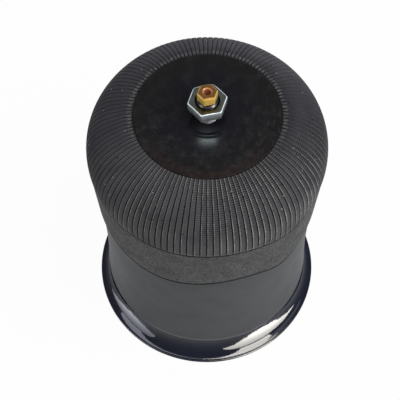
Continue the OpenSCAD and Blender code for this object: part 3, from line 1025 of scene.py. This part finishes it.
        # Painted highlight beside one edge of each rib.
        worn = np.array([0.0, 0.0, 0.7, 1.0, 0.05, 0.0, 0.0, 0.0])
        turns = (np.arange(self.ribs)[:, None] + 0.5 + phase) * TURN / self.ribs
        return turns.ravel(), np.tile(height, self.ribs), np.tile(worn, self.ribs)

    @staticmethod
    def sag(turns: Array, waves: tuple[tuple[float, float, float], ...]) -> Array:
        """How far a hand-trimmed edge hangs down: a sum of bell curves.

        Args:
            turns: angles of the columns.
            waves: for each bell its angle and width in degrees, and its depth.

        Returns:
            The sum at each angle of the depth times e to the minus square of the way off over the width.
        """
        away = [(np.degrees(turns) - angle + 180) % 360 - 180 for angle, _, _ in waves]
        return sum(depth * np.exp(-(off / width) ** 2) for off, (_, width, depth) in zip(away, waves))

    def on_arc(self, angle: Array, reach: Array | float) -> Array:
        """Points at those angles and that reach from the arc's centre."""
        return pairs(self.arc_r + reach * np.cos(angle), self.arc_z + reach * np.sin(angle))

    def shoulder(self, ridge: Array) -> Array:
        """The ribs and grooves: an arc whose radius is the floor's plus the rib's height times the ridge.

        The first row stands straight over the mouth, where the height is the root of the radius squared
        less the way from the arc's circle to the mouth squared.

        Args:
            ridge: height of each column from 0 to 1.

        Returns:
            Rows from the mouth down to the band, columns, and radius and height.
        """
        top = np.arccos((self.mouth - self.arc_r) / self.floor)
        end = -np.arcsin((self.drop - self.band) / self.floor)
        reach = self.floor + self.rib_height * ridge
        rows = self.on_arc(np.linspace(top, end, self.rib_rows)[:, None], reach[None, :])
        rows[0] = pairs(self.mouth, self.arc_z + np.sqrt(reach**2 - (self.mouth - self.arc_r) ** 2))
        return rows

    def still_parts(self) -> dict[str, Array]:
        """The parts of the outline that are the same at every angle, from the band round to the mouth.

        Returns:
            The points of the band below the ribs, the crease, the cuff, its lower edge, the seat on the
            can, the inner side of the shoulder, and the upper bead.
        """
        end = -np.arcsin((self.drop - self.band) / self.floor)
        top = np.arccos((self.mouth - self.arc_r) / self.floor)
        share = np.array(self.cuff_shares)
        cuff_z = self.rib_end_z - self.cuff_drop
        edge_z = self.foot_z + self.cuff_round
        turn = np.linspace(0, math.pi / 2, 4)[1:]
        inner = self.floor - self.wall
        ring_low, ring_top = (self.rib_end_z - down for down in self.ring_drop)
        bead_in, bead_out = self.bead
        bead_z = self.plate_z - self.bead_depth
        rubber_z = self.plate_z - self.bead_gap
        start, past = self.lining_ends
        cuff_r = self.cuff_top + (self.cuff_low - self.cuff_top) * share
        crease = [(self.cuff_top - inward, self.rib_end_z - down) for inward, down in self.crease]
        return {
            "band": self.on_arc(np.array([end, -np.arcsin(self.drop / self.arc)]), self.arc),
            "crease": np.array(crease),
            "cuff": pairs(cuff_r, cuff_z + (edge_z - cuff_z) * share),
            "edge": pairs(
                self.cuff_low - self.cuff_round * (1 - np.cos(turn)), edge_z - self.cuff_round * np.sin(turn)
            ),
            "seat": np.array([
                [self.cuff_inner, self.foot_z],
                [self.seat, self.foot_z],
                [self.seat, ring_low],
                [self.seat + self.seat_step, ring_low],
                [self.seat + self.seat_step, ring_top],
                [self.arc_r + inner, self.arc_z],
            ]),
            "lining": self.on_arc(np.linspace(start, top + past, 12), inner),
            "bead": np.array([
                *((bead_out - inward, bead_z + up) for inward, up in self.bead_edge),
                *((bead_in + inward, bead_z + up) for inward, up in self.bead_edge[::-1]),
                (bead_in, rubber_z),
                (self.mouth, rubber_z),
            ]),
        }

    def build(self) -> bpy.types.Object:
        """Makes the bellows: the outline's rows, moved down by their share of the sag at each angle.

        The share of the ribs' sag rises in an eased step over the lowest part of the shoulder, and gives
        way down the cuff to the sag of its lower edge.

        Returns:
            One closed mesh that stands for the bellows' node.
        """
        turns, ridge, worn = self.columns()
        lifted = self.shoulder(ridge)
        parts = self.still_parts()
        still = [np.broadcast_to(part[:, None, :], (len(part), len(turns), 2)) for part in parts.values()]
        rows = np.concatenate([lifted, *still])
        ribs_end = len(lifted)
        cuff_at = ribs_end + len(parts["band"]) + len(parts["crease"])
        seat_at = cuff_at + len(parts["cuff"]) + len(parts["edge"])

        down_cuff = np.zeros(len(rows))
        down_cuff[cuff_at:seat_at + 1] = [*self.cuff_shares, *np.ones(len(parts["edge"]) + 1)]
        of_ribs = np.zeros(len(rows))
        of_ribs[:ribs_end] = ease(1 - (lifted[:, 0, 1] - self.rib_end_z) / self.sag_fade)
        of_ribs[ribs_end:cuff_at] = 1
        of_ribs[cuff_at:seat_at + 1] = 1 - down_cuff[cuff_at:seat_at + 1]
        edge_sag = self.sag(turns, self.cuff_sags) + self.ripple * np.sin(7 * turns)
        rows[..., 1] -= of_ribs[:, None] * self.sag(turns, self.rib_sags) + down_cuff[:, None] * edge_sag

        levels = {key: np.zeros((len(rows), len(turns))) for key in ("ridge", "worn", "cuff", "seam_shadow", "dots")}
        levels["ridge"][:cuff_at] = ridge
        levels["ridge"][ribs_end + 1:cuff_at] = 1
        # Painted highlight on one edge of each rib, and a weaker one along the ribs' lower ends.
        levels["worn"][:ribs_end] = worn
        least, kept = self.lower_end_highlight
        levels["worn"][ribs_end - 1:ribs_end + 2] = np.maximum(least, kept * worn)
        levels["cuff"][cuff_at - 1:seat_at + 1] = 1
        # Painted shadow lines in the crease over the cuff and along the cuff's lower edge.
        upper, lower = self.seam_shadows
        levels["seam_shadow"][cuff_at - 2:cuff_at] = upper
        levels["seam_shadow"][seat_at - len(parts["edge"]) - 2:seat_at + 1] = lower
        levels["dots"][cuff_at - 2:cuff_at] = ridge < 0.5
        levels["along"] = np.full((len(rows), 1), self.far)
        step = np.linalg.norm(np.diff(lifted[:, 0], axis=0), axis=-1)
        levels["along"][:ribs_end, 0] = np.concatenate([[0], np.cumsum(step)])
        piece = net("bellows_rubber", round_the_axis(rows, turns), levels, sharp=70)
        dress(piece, Finish.BELLOWS)
        self.join_ends(piece)
        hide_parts("bellows")
        log.info("%s: %d faces", piece.name, len(piece.data.polygons))
        return piece

    def join_ends(self, piece: bpy.types.Object) -> None:
        """Bakes the bellows' place into its mesh and works out the share of it that would follow the top.

        That share is 1 inside the mouth and 0 past the widest place, and between them it falls in an eased
        step of the radius. The inner side far below the plate gets 0 too. The share is not kept, so the
        bellows does not roll between the base and the top.

        Args:
            piece: the bellows.
        """
        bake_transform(piece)
        place = np.empty(len(piece.data.vertices) * 3, np.float32)
        piece.data.vertices.foreach_get("co", place)
        place = place.reshape(-1, 3) / MM
        radius = np.hypot(place[:, 0], place[:, 1])
        follow = ease((self.still_from - radius) / (self.still_from - self.mouth - self.follows_to))
        follow[place[:, 2] < self.plate_z - self.still_below] = 0


@dataclass
class GuideCan:
    """The satin can that the cuff grips, which widens over the flange's neck.

    Args:
        columns: how many columns it has.
        radius: its outer radius.
        flare: how much wider its foot is.
        flare_height: height over which it widens.
        socket: inner radius of the foot, over the flange's neck.
        neck: radius of its top, which the bellows sits on.
        lip: how far the lip stands out over the neck.
        lip_height: height of the lip.
        wall: its thickness.
        seat_gap: how far the shoulder stays below the bellows.
        foot_highlight: height of the painted highlight along the foot, and of its fading.
    """

    columns: int = 256
    radius: float = 65.2
    flare: float = 2.4
    flare_height: float = 57.5
    socket: float = 65.55
    neck: float = 62.6
    lip: float = 1.2
    lip_height: float = 2.5
    wall: float = 2.0
    seat_gap: float = 0.05
    foot_highlight: Span = (1.4, 0.8)

    def build(self) -> bpy.types.Object:
        """Makes the can. Its radius below the straight part grows with the square of the way down.

        Returns:
            One closed mesh that stands for the can's node.
        """
        low, high = low_of("guide_can").z, high_of("guide_can").z
        seat = low_of("bellows").z - self.seat_gap
        ledge = high_of("pan_gasket").z
        share = np.linspace(0, 1, 24)[1:]
        foot = self.radius + self.flare
        skirt = pairs(self.radius + self.flare * (1 - share) ** 2, low + self.flare_height * share)
        outline = (
            Outline()
            .corner(self.socket, low, 0.3)
            .corner(foot, low, 0.7, 5)
            .curve(np.array([[foot, low + 1.0], [foot, low + 1.5]]))
            .curve(skirt)
            .corner(self.radius, seat, 0.3)
            .corner(self.neck, seat, 0.3)
            .corner(self.neck, high - self.lip_height, 0.3)
            .corner(self.neck + self.lip, high - self.lip_height, 0.4)
            .corner(self.neck + self.lip, high, 0.5)
            .corner(self.neck - self.wall, high, 0.5)
            .corner(self.neck - self.wall, seat - self.wall, 1.5)
            .corner(self.radius - self.wall, seat - 2 * self.wall, 1.5)
            .corner(self.radius - self.wall, ledge, 0.2)
            .corner(self.socket, ledge, 0.2)
            .drawn()
        )
        # Painted highlight along the foot's rounded edge.
        line, fade = self.foot_highlight
        pale = ease((low + line - outline[:, 1]) / fade) * (outline[:, 0] > self.radius + 1)
        piece = net("can_shell", round_the_axis(outline, even_turns(self.columns)), {"foot": pale[:, None]})
        stand_for(piece, "guide_can", "base", Finish.CAN)
        return piece


@dataclass
class BaseFlange:
    """The spun flange: a straight neck that sweeps out into a nearly flat rim with a rolled edge.

    Args:
        columns: how many columns it has.
        sheet: thickness of its sheet.
        neck: outer radius of its neck.
        flare_height: height over which it sweeps out.
    """

    columns: int = 288
    sheet: float = 1.6
    neck: float = 65.5
    flare_height: float = 21.0

    def face(self, centre: float, extra: float) -> Array:
        """One face of the flare, from the neck out to the rim.

        Args:
            centre: distance of the ellipse's centre from the axis.
            extra: how much longer both of its axes are than those of the outer face.

        Returns:
            A quarter of an ellipse: the centre less the wide axis times the cosine, and its height less
            the tall axis times the sine.
        """
        turn = np.linspace(0, math.pi / 2, 40)
        wide, tall = centre - self.neck + extra, self.flare_height + extra
        return pairs(centre - wide * np.cos(turn), self.sheet + self.flare_height - tall * np.sin(turn))

    def build(self) -> bpy.types.Object:
        """Makes the flange from both faces of its sheet and the half circle of its rolled edge.

        Returns:
            One closed mesh that stands for the flange's node.
        """
        top, half = high_of("base_flange").z, self.sheet / 2
        centre = high_of("base_flange").x - half
        turn = np.linspace(math.pi / 2, -math.pi / 2, 9)[1:-1]
        outline = (
            Outline()
            .corner(self.neck, top, 0.3)
            .curve(self.face(centre, 0.0))
            .curve(pairs(centre + half * np.cos(turn), half + half * np.sin(turn)))
            .curve(self.face(centre, self.sheet)[::-1])
            .corner(self.neck - self.sheet, top, 0.3)
            .drawn()
        )
        piece = net("flange_shell", round_the_axis(outline, even_turns(self.columns)))
        stand_for(piece, "base_flange", "base", Finish.FLANGE)
        return piece


@dataclass
class TopPlate:
    """The round plate, with a shallow step inside its edge and a faint raised ring round the stud.

    Args:
        columns: how many columns it has.
        rim: radius at which the step starts.
        rim_slope: width of the step.
        depth: depth of the step.
        hub: inner and outer radius of the ring.
        hub_foot: how far the ring's foot reaches past them.
        hub_slope: how far its top stays inside them.
        hub_height: its height.
        hole: radius of the hole for the stud.
        soft: radius of the rounds on its face.
    """

    columns: int = 224
    rim: float = 38.7
    rim_slope: float = 1.2
    depth: float = 0.12
    hub: Span = (12.7, 15.3)
    hub_foot: float = 0.6
    hub_slope: float = 1.1
    hub_height: float = 0.02
    hole: float = 6.05
    soft: float = 0.8

    def build(self) -> bpy.types.Object:
        """Makes the plate: straight stretches of its outline, whose corners are rounded.

        Returns:
            One closed mesh that stands for the plate's node.
        """
        edge, low, top = high_of("top_plate").x, low_of("top_plate").z, high_of("top_plate").z
        floor = top - self.depth
        inner, outer = self.hub
        outline = (
            Outline()
            .corner(edge, low, 0.3)
            .corner(edge, top, 0.5, 5)
            .corner(self.rim, top, self.soft)
            .corner(self.rim - self.rim_slope, floor, self.soft)
            .corner(outer + self.hub_foot, floor, self.soft)
            .corner(outer - self.hub_slope, floor + self.hub_height, self.soft)
            .corner(inner + self.hub_slope, floor + self.hub_height, self.soft)
            .corner(inner - self.hub_foot, floor, self.soft)
            .corner(self.hole, floor, 0.25)
            .corner(self.hole, low, 0.25)
            .drawn()
        )
        piece = net("plate_shell", round_the_axis(outline, even_turns(self.columns)))
        stand_for(piece, "top_plate", "top", Finish.PLATE)
        return piece


@dataclass
class MountingStud:
    """The hollow threaded stud with its head under the plate.

    Args:
        columns: how many columns it has.
        radius: outer radius of its thread.
        pitch: pitch of the thread.
        depth: depth of the thread.
        rows_a_pitch: how many rows the thread has for each pitch.
        groove: level of the groove's middle, and how fast it falls away over the pitch.
        fade: heights over which the thread fades out at its upper and its lower end.
        bore: radius of the socket for the union.
        hole: radius of the air hole.
        head: radius of the head.
        head_height: height of the head.
        seal_gap: how far the socket's floor lies below the tube's seal.
        dim: the crests' painted highlight is full up to twice this far below the stud's end, and gone from
            once this far.
        glints: angles in degrees at which the end's edge gets a painted glint.
        glint_width: width of each painted glint in degrees.
        glint_levels: painted highlight of the edge between the glints, and what each glint adds.
        bright_rows: how many rows of the end are its edge.
    """

    columns: int = 96
    radius: float = 6.0
    pitch: float = 1.5
    depth: float = 0.85
    rows_a_pitch: int = 9
    groove: Span = (1.25, 2.6)
    fade: Span = (0.9, 0.6)
    bore: float = 4.05
    hole: float = 1.6
    head: float = 14.0
    head_height: float = 3.5
    seal_gap: float = 0.05
    dim: float = 1.5
    glints: tuple[float, ...] = (232.0, 306.0, 60.0)
    glint_width: float = 10.0
    glint_levels: Span = (0.05, 0.9)
    bright_rows: int = 3

    def thread(self, turns: Array, low: float, high: float) -> tuple[Array, Array]:
        """The threaded wall. Its radius falls by the depth times a rounded saw of the height over the pitch
        less the share of the turn, so that each column's groove lies a little lower than the last one's.

        Args:
            turns: angles of the columns.
            low: height at which the thread starts.
            high: height at which it ends.

        Returns:
            The radii, as rows and columns, and the height of each row.
        """
        heights = np.linspace(low, high, int((high - low) / self.pitch * self.rows_a_pitch))
        phase = (heights[:, None] / self.pitch - turns[None, :] / TURN) % 1.0
        level, fall = self.groove
        upper, lower = self.fade
        groove = ease(level - np.abs(phase - 0.5) * fall)
        fade = ease((high - heights) / upper)[:, None] * ease((heights - low) / lower)[:, None]
        return self.radius - self.depth * groove * fade, heights

    def brightness(self, wall: Array, heights: Array, turns: Array, top: float, rim_rows: int) -> list[Array]:
        """Painted highlights of the thread and the stud's end: on the crests, and at a few places of the
        end's edge.

        Args:
            wall: radii of the thread.
            heights: heights of its rows.
            turns: angles of the columns.
            top: height of the stud's end.
            rim_rows: how many rows the end and the inside have.

        Returns:
            The levels of the thread and of the end, as rows and columns.
        """
        # Painted highlight on the thread's crests, fading out near the stud's end.
        below_end = ease((top - self.dim - heights) / self.dim)[:, None]
        crest = ease((wall - self.radius + self.depth) / self.depth) * below_end
        # Painted glints on the end's edge.
        off = [(np.degrees(turns) - place + 180) % 360 - 180 for place in self.glints]
        end = np.zeros((rim_rows, len(turns)))
        base, gain = self.glint_levels
        end[:self.bright_rows] = base + gain * sum(np.exp(-(way / self.glint_width) ** 2) for way in off)
        return [crest, end]

    def build(self) -> bpy.types.Object:
        """Makes the stud, from the air hole over the head and up the thread to its end and its socket.

        Returns:
            One closed mesh that stands for the stud's node.
        """
        low, top = low_of("mounting_stud").z, high_of("mounting_stud").z
        socket_floor = low_of("tube_seal").z - self.seal_gap
        turns = even_turns(self.columns)
        head_top = low + self.head_height
        wall, heights = self.thread(turns, head_top + 0.3, top - 0.9)
        head = (
            Outline()
            .corner(self.hole, low, 0.3)
            .corner(self.head, low, 0.5)
            .corner(self.head, head_top, 0.5)
            .corner(self.radius, head_top, 0.0)
            .drawn()
        )
        end = [
            (self.radius - 0.45, top - 0.4),
            (self.radius - 0.9, top - 0.05),
            (self.radius - 1.05, top),
            (self.bore + 0.3, top),
            (self.bore + 0.1, top - 0.08),
            (self.bore, top - 0.3),
            (self.bore, socket_floor),
            (self.hole, socket_floor),
        ]
        rows = np.concatenate([
            rows_of(list(head), self.columns), pairs(wall, heights[:, None]), rows_of(end, self.columns),
        ])
        plain = np.ones((len(head), self.columns))
        bright = np.concatenate([plain, *self.brightness(wall, heights, turns, top, len(end))])
        piece = net("stud_thread", round_the_axis(rows, turns), {"bright": bright}, sharp=40)
        stand_for(piece, "mounting_stud", "top", Finish.STUD)
        return piece


def hexagon(turns: Array, across: float, corner_cut: float) -> Array:
    """Radius of a hexagon at each angle: half its width over the cosine of the angle from the middle of a
    side, and never more than the corner less the cut.

    Args:
        turns: angles from the first corner.
        across: width across the flats.
        corner_cut: how much the corners are worn down.

    Returns:
        The radii.
    """
    side = TURN / 6
    flat = across / 2 / np.cos(turns % side - side / 2)
    return np.minimum(flat, across / 2 / math.cos(side / 2) - corner_cut)


@dataclass
class StudNut:
    """The thin hexagon nut, bevelled on both faces.

    Args:
        columns: how many columns it has.
        across: its width across the flats.
        corner_cut: how much its corners are worn down.
        angle: how far it is turned, in degrees.
        bevel: how much wider the bevel's circle is than the flats.
        bevel_slope: slope of the bevel in degrees.
        edge: how far the faces stay inside the flats.
        hole: radius of its hole.
        sink: size of the hole's bevel.
    """

    columns: int = 144
    across: float = 19.0
    corner_cut: float = 0.12
    angle: float = 12.5
    bevel: float = 0.75
    bevel_slope: float = 30.0
    edge: float = 0.36
    hole: float = 6.05
    sink: float = 0.75

    def build(self) -> bpy.types.Object:
        """Makes the nut. A cone cuts its corners, so the edge of each flat falls there by the radius past
        the cone's circle times the cone's slope.

        Returns:
            One closed mesh that stands for the nut's node.
        """
        low, high = low_of("stud_nut").z, high_of("stud_nut").z
        turns = even_turns(self.columns)
        radius = hexagon(turns, self.across, self.corner_cut)
        circle = self.across / 2 + self.bevel
        face = np.minimum(radius - self.edge, circle)
        fall = np.maximum(radius - circle, 0) * math.tan(math.radians(self.bevel_slope))
        mouth = self.hole + self.sink
        # Radius, height and painted highlight of each row, from the hole down, out, up and back in.
        rows = [
            (self.hole, high - self.sink, 0.0),
            (self.hole, low + self.sink, 0.0),
            (mouth, low, 0.0),
            (face - 0.15, low, 0.0),
            (face, low, 0.2),
            (radius - 0.1, low + fall + 0.15, 0.4),
            (radius, low + fall + 0.28, 0.4),
            (radius, low + fall + 0.45, 0.45),
            (radius, high - fall - 0.45, 0.85),
            (radius, high - fall - 0.28, 1.0),
            (radius - 0.1, high - fall - 0.15, 1.0),
            (face, high, 0.95),
            (face - 0.15, high, 0.0),
            (mouth + 0.1, high, 0.0),
            (mouth, high - 0.04, 0.0),
        ]
        outline = rows_of([(reach, height) for reach, height, _ in rows], self.columns)
        # Painted light: the upper side and bevel are painted brightest, the lower side less, and the faces
        # get a painted dark reflection.
        bright = np.array([[level] for _, _, level in rows])
        points = round_the_axis(outline, turns + math.radians(self.angle))
        piece = net("nut_hexagon", points, {"bright": bright}, sharp=24)
        stand_for(piece, "stud_nut", "nut", Finish.ZINC)
        return piece


@dataclass
class AirUnion:
    """The brass union: a hexagon with rounded shoulders, a countersunk bore and a threaded tail.

    Args:
        columns: how many columns it has.
        across: its width across the flats.
        corner_cut: how much its corners are worn down.
        angle: how far it is turned, in degrees.
        shoulder: radius of its shoulders.
        bore: radius of the bore for the air tube.
        mouth: radius of the bore's countersink.
        tail: outer radius of the tail.
        nose: size of the cone inside the tail's end.
        seal_gap: how far the hexagon stays above its seal.
    """

    columns: int = 144
    across: float = 10.0
    corner_cut: float = 0.1
    angle: float = 12.5
    shoulder: float = 1.25
    bore: float = 2.05
    mouth: float = 2.7
    tail: float = 3.95
    nose: float = 1.25
    seal_gap: float = 0.05

    def build(self) -> bpy.types.Object:
        """Makes the union. Each shoulder is a quarter round that starts at the hexagon's own radius.

        Returns:
            One closed mesh that stands for the union's node.
        """
        low, high = low_of("union_screw").z, high_of("union_screw").z
        hex_low = high_of("union_seal").z + self.seal_gap
        turns = even_turns(self.columns)
        radius = hexagon(turns, self.across, self.corner_cut)
        bend = np.linspace(0, math.pi / 2, 7)
        # Painted highlight that fades over the rounded shoulder, so the top gets a painted dark reflection.
        shoulder_highlight = (1.0, 1.0, 0.8, 0.35, 0.1, 0.0, 0.0)
        rounded = [
            (radius - self.shoulder * (1 - math.cos(a)), high - self.shoulder * (1 - math.sin(a)), level, 0.0)
            for a, level in zip(bend, shoulder_highlight)
        ]
        # Radius, height, painted highlight and oxide of each row, from the bore down, out, up and back in.
        rows = [
            (self.bore, high - self.mouth + self.bore, 1.0, 1.0),
            (self.bore, low + self.nose, 1.0, 1.0),
            (self.bore + self.nose, low, 1.0, 0.0),
            (self.tail - 0.3, low, 1.0, 0.0),
            (self.tail, low + 0.3, 1.0, 0.0),
            (self.tail, hex_low, 1.0, 0.0),
            (self.tail + 0.3, hex_low, 1.0, 0.0),
            (radius - 0.25, hex_low, 1.0, 0.0),
            (radius, hex_low + 0.25, 1.0, 0.0),
            (radius, hex_low + 0.5, 1.0, 0.0),
            (radius, high - self.shoulder - 0.2, 1.0, 0.0),
            *rounded,
            (self.mouth + 0.35, high, 0.0, 0.0),
            (self.mouth + 0.1, high - 0.04, 0.0, 0.0),
            (self.mouth, high - 0.15, 0.0, 0.6),
        ]
        outline = rows_of([(reach, height) for reach, height, _, _ in rows], self.columns)
        levels = {
            "bright": np.array([[level] for _, _, level, _ in rows]),
            "oxide": np.array([[level] for _, _, _, level in rows]),
        }
        points = round_the_axis(outline, turns + math.radians(self.angle))
        piece = net("union_hexagon", points, levels, sharp=30)
        stand_for(piece, "union_screw", "union", Finish.BRASS)
        return piece


# Pieces that stay as the frame has them, and their finishes.
NODE_FINISHES = {
    "base_pan": Finish.PAN,
    "base_insert": Finish.STEEL,
    "pan_gasket": Finish.SEAL,
    "cuff_bead_ring": Finish.STEEL,
    "upper_bead_ring": Finish.STEEL,
    "bead_retainer": Finish.PAN,
    "stud_seal": Finish.SEAL,
    "union_seal": Finish.SEAL,
    "tube_collet": Finish.BRASS,
    "seal_spacer": Finish.PALE_NYLON,
    "tube_seal": Finish.SEAL,
    "bump_stop": Finish.FOAM,
    "bump_stop_cup": Finish.NYLON,
    "cup_screw": Finish.STEEL,
}


def dress_nodes() -> None:
    """Gives the nodes that stay their finishes."""
    for name, finish in NODE_FINISHES.items():
        dress(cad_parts[name], finish)
        log.info("%s: %s", name, finish.name.lower())


# The studio, whose lengths are in metres.

FLANGE = "flange_shell"


@dataclass(frozen=True, kw_only=True)
class Light:
    """A rectangular area light.

    Args:
        name: its name.
        turn: its direction round the spring in degrees, with -90 for the front and 0 for the right.
        glow: how many times brighter than white its face is.
        tint: its colour.
        shown_on: the one piece whose gloss shows it, past all others, or None for a light for everything.
    """

    name: str
    turn: float
    glow: float
    tint: Colour = WHITE
    shown_on: str | None = None

    def face(self, width: float, height: float) -> bpy.types.Object:
        """Makes the light at the origin. Its power is its brightness times pi times its area.

        Args:
            width: width of its face.
            height: height of its face.

        Returns:
            The light, not yet in its place.
        """
        data = bpy.data.lights.new(self.name, "AREA")
        data.shape = "RECTANGLE"
        data.size = width
        data.size_y = height
        data.energy = self.glow * math.pi * width * height
        data.color = self.tint
        light = bpy.data.objects.new(self.name, data)
        bpy.context.scene.collection.objects.link(light)
        light.visible_camera = False
        if self.shown_on:
            light.visible_diffuse = False
            receivers = bpy.data.collections.get(self.shown_on) or bpy.data.collections.new(self.shown_on)
            if self.shown_on not in receivers.objects:
                receivers.objects.link(bpy.data.objects[self.shown_on])
            light.light_linking.receiver_collection = receivers
            light.light_linking.blocker_collection = receivers
        return light


@dataclass(frozen=True, kw_only=True)
class Lamp(Light):
    """A soft lamp that looks at the spring.

    Args:
        rise: its angle above the floor in degrees.
        spread: its width and height in degrees, as seen from the spring.
        distance: how far it is from the place that it looks at.
        aim: height of that place.
    """

    rise: float
    spread: Span
    distance: float = 1.6
    aim: float = 0.1

    def build(self) -> None:
        """Makes the lamp. Each side is twice the distance times the tangent of half its spread."""
        turn, rise = math.radians(self.turn), math.radians(self.rise)
        flat = math.cos(rise)
        away = Vector((flat * math.cos(turn), flat * math.sin(turn), math.sin(rise))) * self.distance
        sides = (2 * self.distance * math.tan(math.radians(angle) / 2) for angle in self.spread)
        facing = (-away).to_track_quat("-Z", "Y").to_matrix().to_4x4()
        self.face(*sides).matrix_world = Matrix.Translation(away + Vector((0, 0, self.aim))) @ facing


@dataclass(frozen=True, kw_only=True)
class Card(Light):
    """A bright card that lies on the floor beside the flange and only shows in the flange's gloss.

    Args:
        size: its width, and its length away from the flange.
        gap: how far it stays from the flange.
        lift: how far it lies above the floor.
    """

    size: Span
    gap: float = 0.002
    lift: float = 0.0005
    shown_on: str = FLANGE

    def build(self) -> None:
        """Makes the card, with its face up and its length along its direction."""
        turn = math.radians(self.turn)
        middle = high_of("base_flange").x * MM + self.gap + self.size[1] / 2
        place = Matrix.Translation((middle * math.cos(turn), middle * math.sin(turn), self.lift))
        facing = Matrix.Rotation(turn - math.pi / 2, 4, "Z") @ Matrix.Rotation(math.pi, 4, "X")
        self.face(*self.size).matrix_world = place @ facing


LIGHTS = (
    Lamp(name="top softbox", turn=-48, rise=70, spread=(46, 46), glow=2.2),
    Lamp(name="side softbox", turn=-15, rise=35, spread=(30, 30), glow=3.2),
    Lamp(name="right panel", turn=-50, rise=32, spread=(28, 60), glow=54.0, tint=WARM, shown_on=FLANGE),
    Lamp(name="right top panel", turn=-42, rise=70, spread=(30, 20), glow=40.0, tint=WARM, shown_on=FLANGE),
    Lamp(name="left panel", turn=-155, rise=32, spread=(24, 64), glow=15.0, tint=COOL, shown_on=FLANGE),
    Lamp(name="left top panel", turn=-146, rise=70, spread=(22, 20), glow=10.0, tint=COOL, shown_on=FLANGE),
    Card(name="right card", turn=-52, size=(0.08, 0.2), glow=34.0, tint=WARM),
    Card(name="left card", turn=-144, size=(0.06, 0.2), glow=8.0, tint=COOL),
    Lamp(
        name="plate panel", turn=89.9, rise=59.75, spread=(1.2, 0.2), glow=150.0, tint=GREEN,
        shown_on="plate_shell",
    ),
)


@dataclass
class Studio:
    """A pale floor, soft light and the camera at the photograph's angle.

    Args:
        target: the point that the camera looks at.
        distance: how far it stands from it.
        pitch: its angle above the horizon in degrees.
        roll: how far it is tilted to the side in degrees.
        lens: its focal length in millimetres.
        sensor: width of its sensor in millimetres.
        shift: how far its picture is moved, as shares of its width.
        clip: the nearest and the furthest that it sees.
        fill: strength of the light from all round.
        floor_half: half the floor's width.
        floor_drop: how far the floor lies below the spring's foot.
        floor_tones: the two tones of the floor.
        floor_grain_mm: size of the clouds of those tones.
        floor_glow: share of plain white in the floor where the camera or a reflection sees it.
    """

    target: tuple[float, float, float] = (0.0, 0.0, 0.101)
    distance: float = 0.591
    pitch: float = 60.76
    roll: float = 0.31
    lens: float = 85.26
    sensor: float = 36.0
    shift: Span = (-0.0173, -0.0168)
    clip: Span = (0.01, 20.0)
    fill: float = 0.4
    floor_half: float = 3.0
    floor_drop: float = 0.0002
    floor_tones: tuple[Colour, Colour] = ((0.89, 0.89, 0.89), (0.91, 0.91, 0.905))
    floor_grain_mm: float = 20.0
    floor_glow: float = 0.955

    def camera(self) -> None:
        """The camera, from its distance and its angle above the horizon."""
        data = bpy.data.cameras.new("camera")
        data.lens = self.lens
        data.sensor_width = self.sensor
        data.shift_x, data.shift_y = self.shift
        data.clip_start, data.clip_end = self.clip
        camera = bpy.data.objects.new("camera", data)
        bpy.context.scene.collection.objects.link(camera)
        up = math.radians(self.pitch)
        back = Vector((0, -math.cos(up), math.sin(up)))
        level = (-back).to_track_quat("-Z", "Y").to_matrix()
        turn = level @ Matrix.Rotation(math.radians(self.roll), 3, "Z")
        camera.matrix_world = Matrix.Translation(Vector(self.target) + back * self.distance) @ turn.to_4x4()
        bpy.context.scene.camera = camera

    def world(self) -> None:
        """White where the camera and reflections see it, and a plain grey fill for everything else."""
        world = bpy.data.worlds.new("studio")
        bpy.context.scene.world = world
        world.use_nodes = True
        nodes = Nodes(world.node_tree)
        fill = nodes.node("ShaderNodeBackground", inputs={"Color": WHITE, "Strength": self.fill})
        white = nodes.node("ShaderNodeBackground", inputs={"Color": WHITE, "Strength": 1.0})
        mix = nodes.node("ShaderNodeMixShader", inputs={0: nodes.seen(), 1: fill, 2: white})
        nodes.add("ShaderNodeOutputWorld", inputs={"Surface": mix})

    def floor(self) -> None:
        """A wide pale floor on the plane that the spring stands on."""
        half, down = self.floor_half, -self.floor_drop
        corners = [(-half, -half, down), (half, -half, down), (half, half, down), (-half, half, down)]
        mesh = bpy.data.meshes.new("floor")
        mesh.from_pydata(corners, [], [(0, 1, 2, 3)])
        floor = bpy.data.objects.new("floor", mesh)
        bpy.context.scene.collection.objects.link(floor)
        p = Paint("studio floor")
        base = p.mixed(p.noise(self.floor_grain_mm, 2), *self.floor_tones)
        diffuse = p.node("ShaderNodeBsdfDiffuse", inputs={"Color": base})
        glow = p.node("ShaderNodeEmission", inputs={"Color": WHITE, "Strength": 1.0})
        mix = p.node("ShaderNodeMixShader", inputs={0: p.seen() * self.floor_glow, 1: diffuse, 2: glow})
        mesh.materials.append(p.closed(mix))

    def build(self) -> None:
        """Makes the whole studio."""
        bpy.context.scene.view_settings.view_transform = "Standard"
        self.world()
        self.floor()
        for light in LIGHTS:
            light.build()
        self.camera()


def main() -> None:
    """Builds every piece, then the studio."""
    logging.basicConfig(level=logging.INFO, format="%(name)s %(message)s")
    Bellows().build()
    GuideCan().build()
    BaseFlange().build()
    TopPlate().build()
    MountingStud().build()
    StudNut().build()
    AirUnion().build()
    dress_nodes()
    Studio().build()


if __name__ == "__main__":
    main()
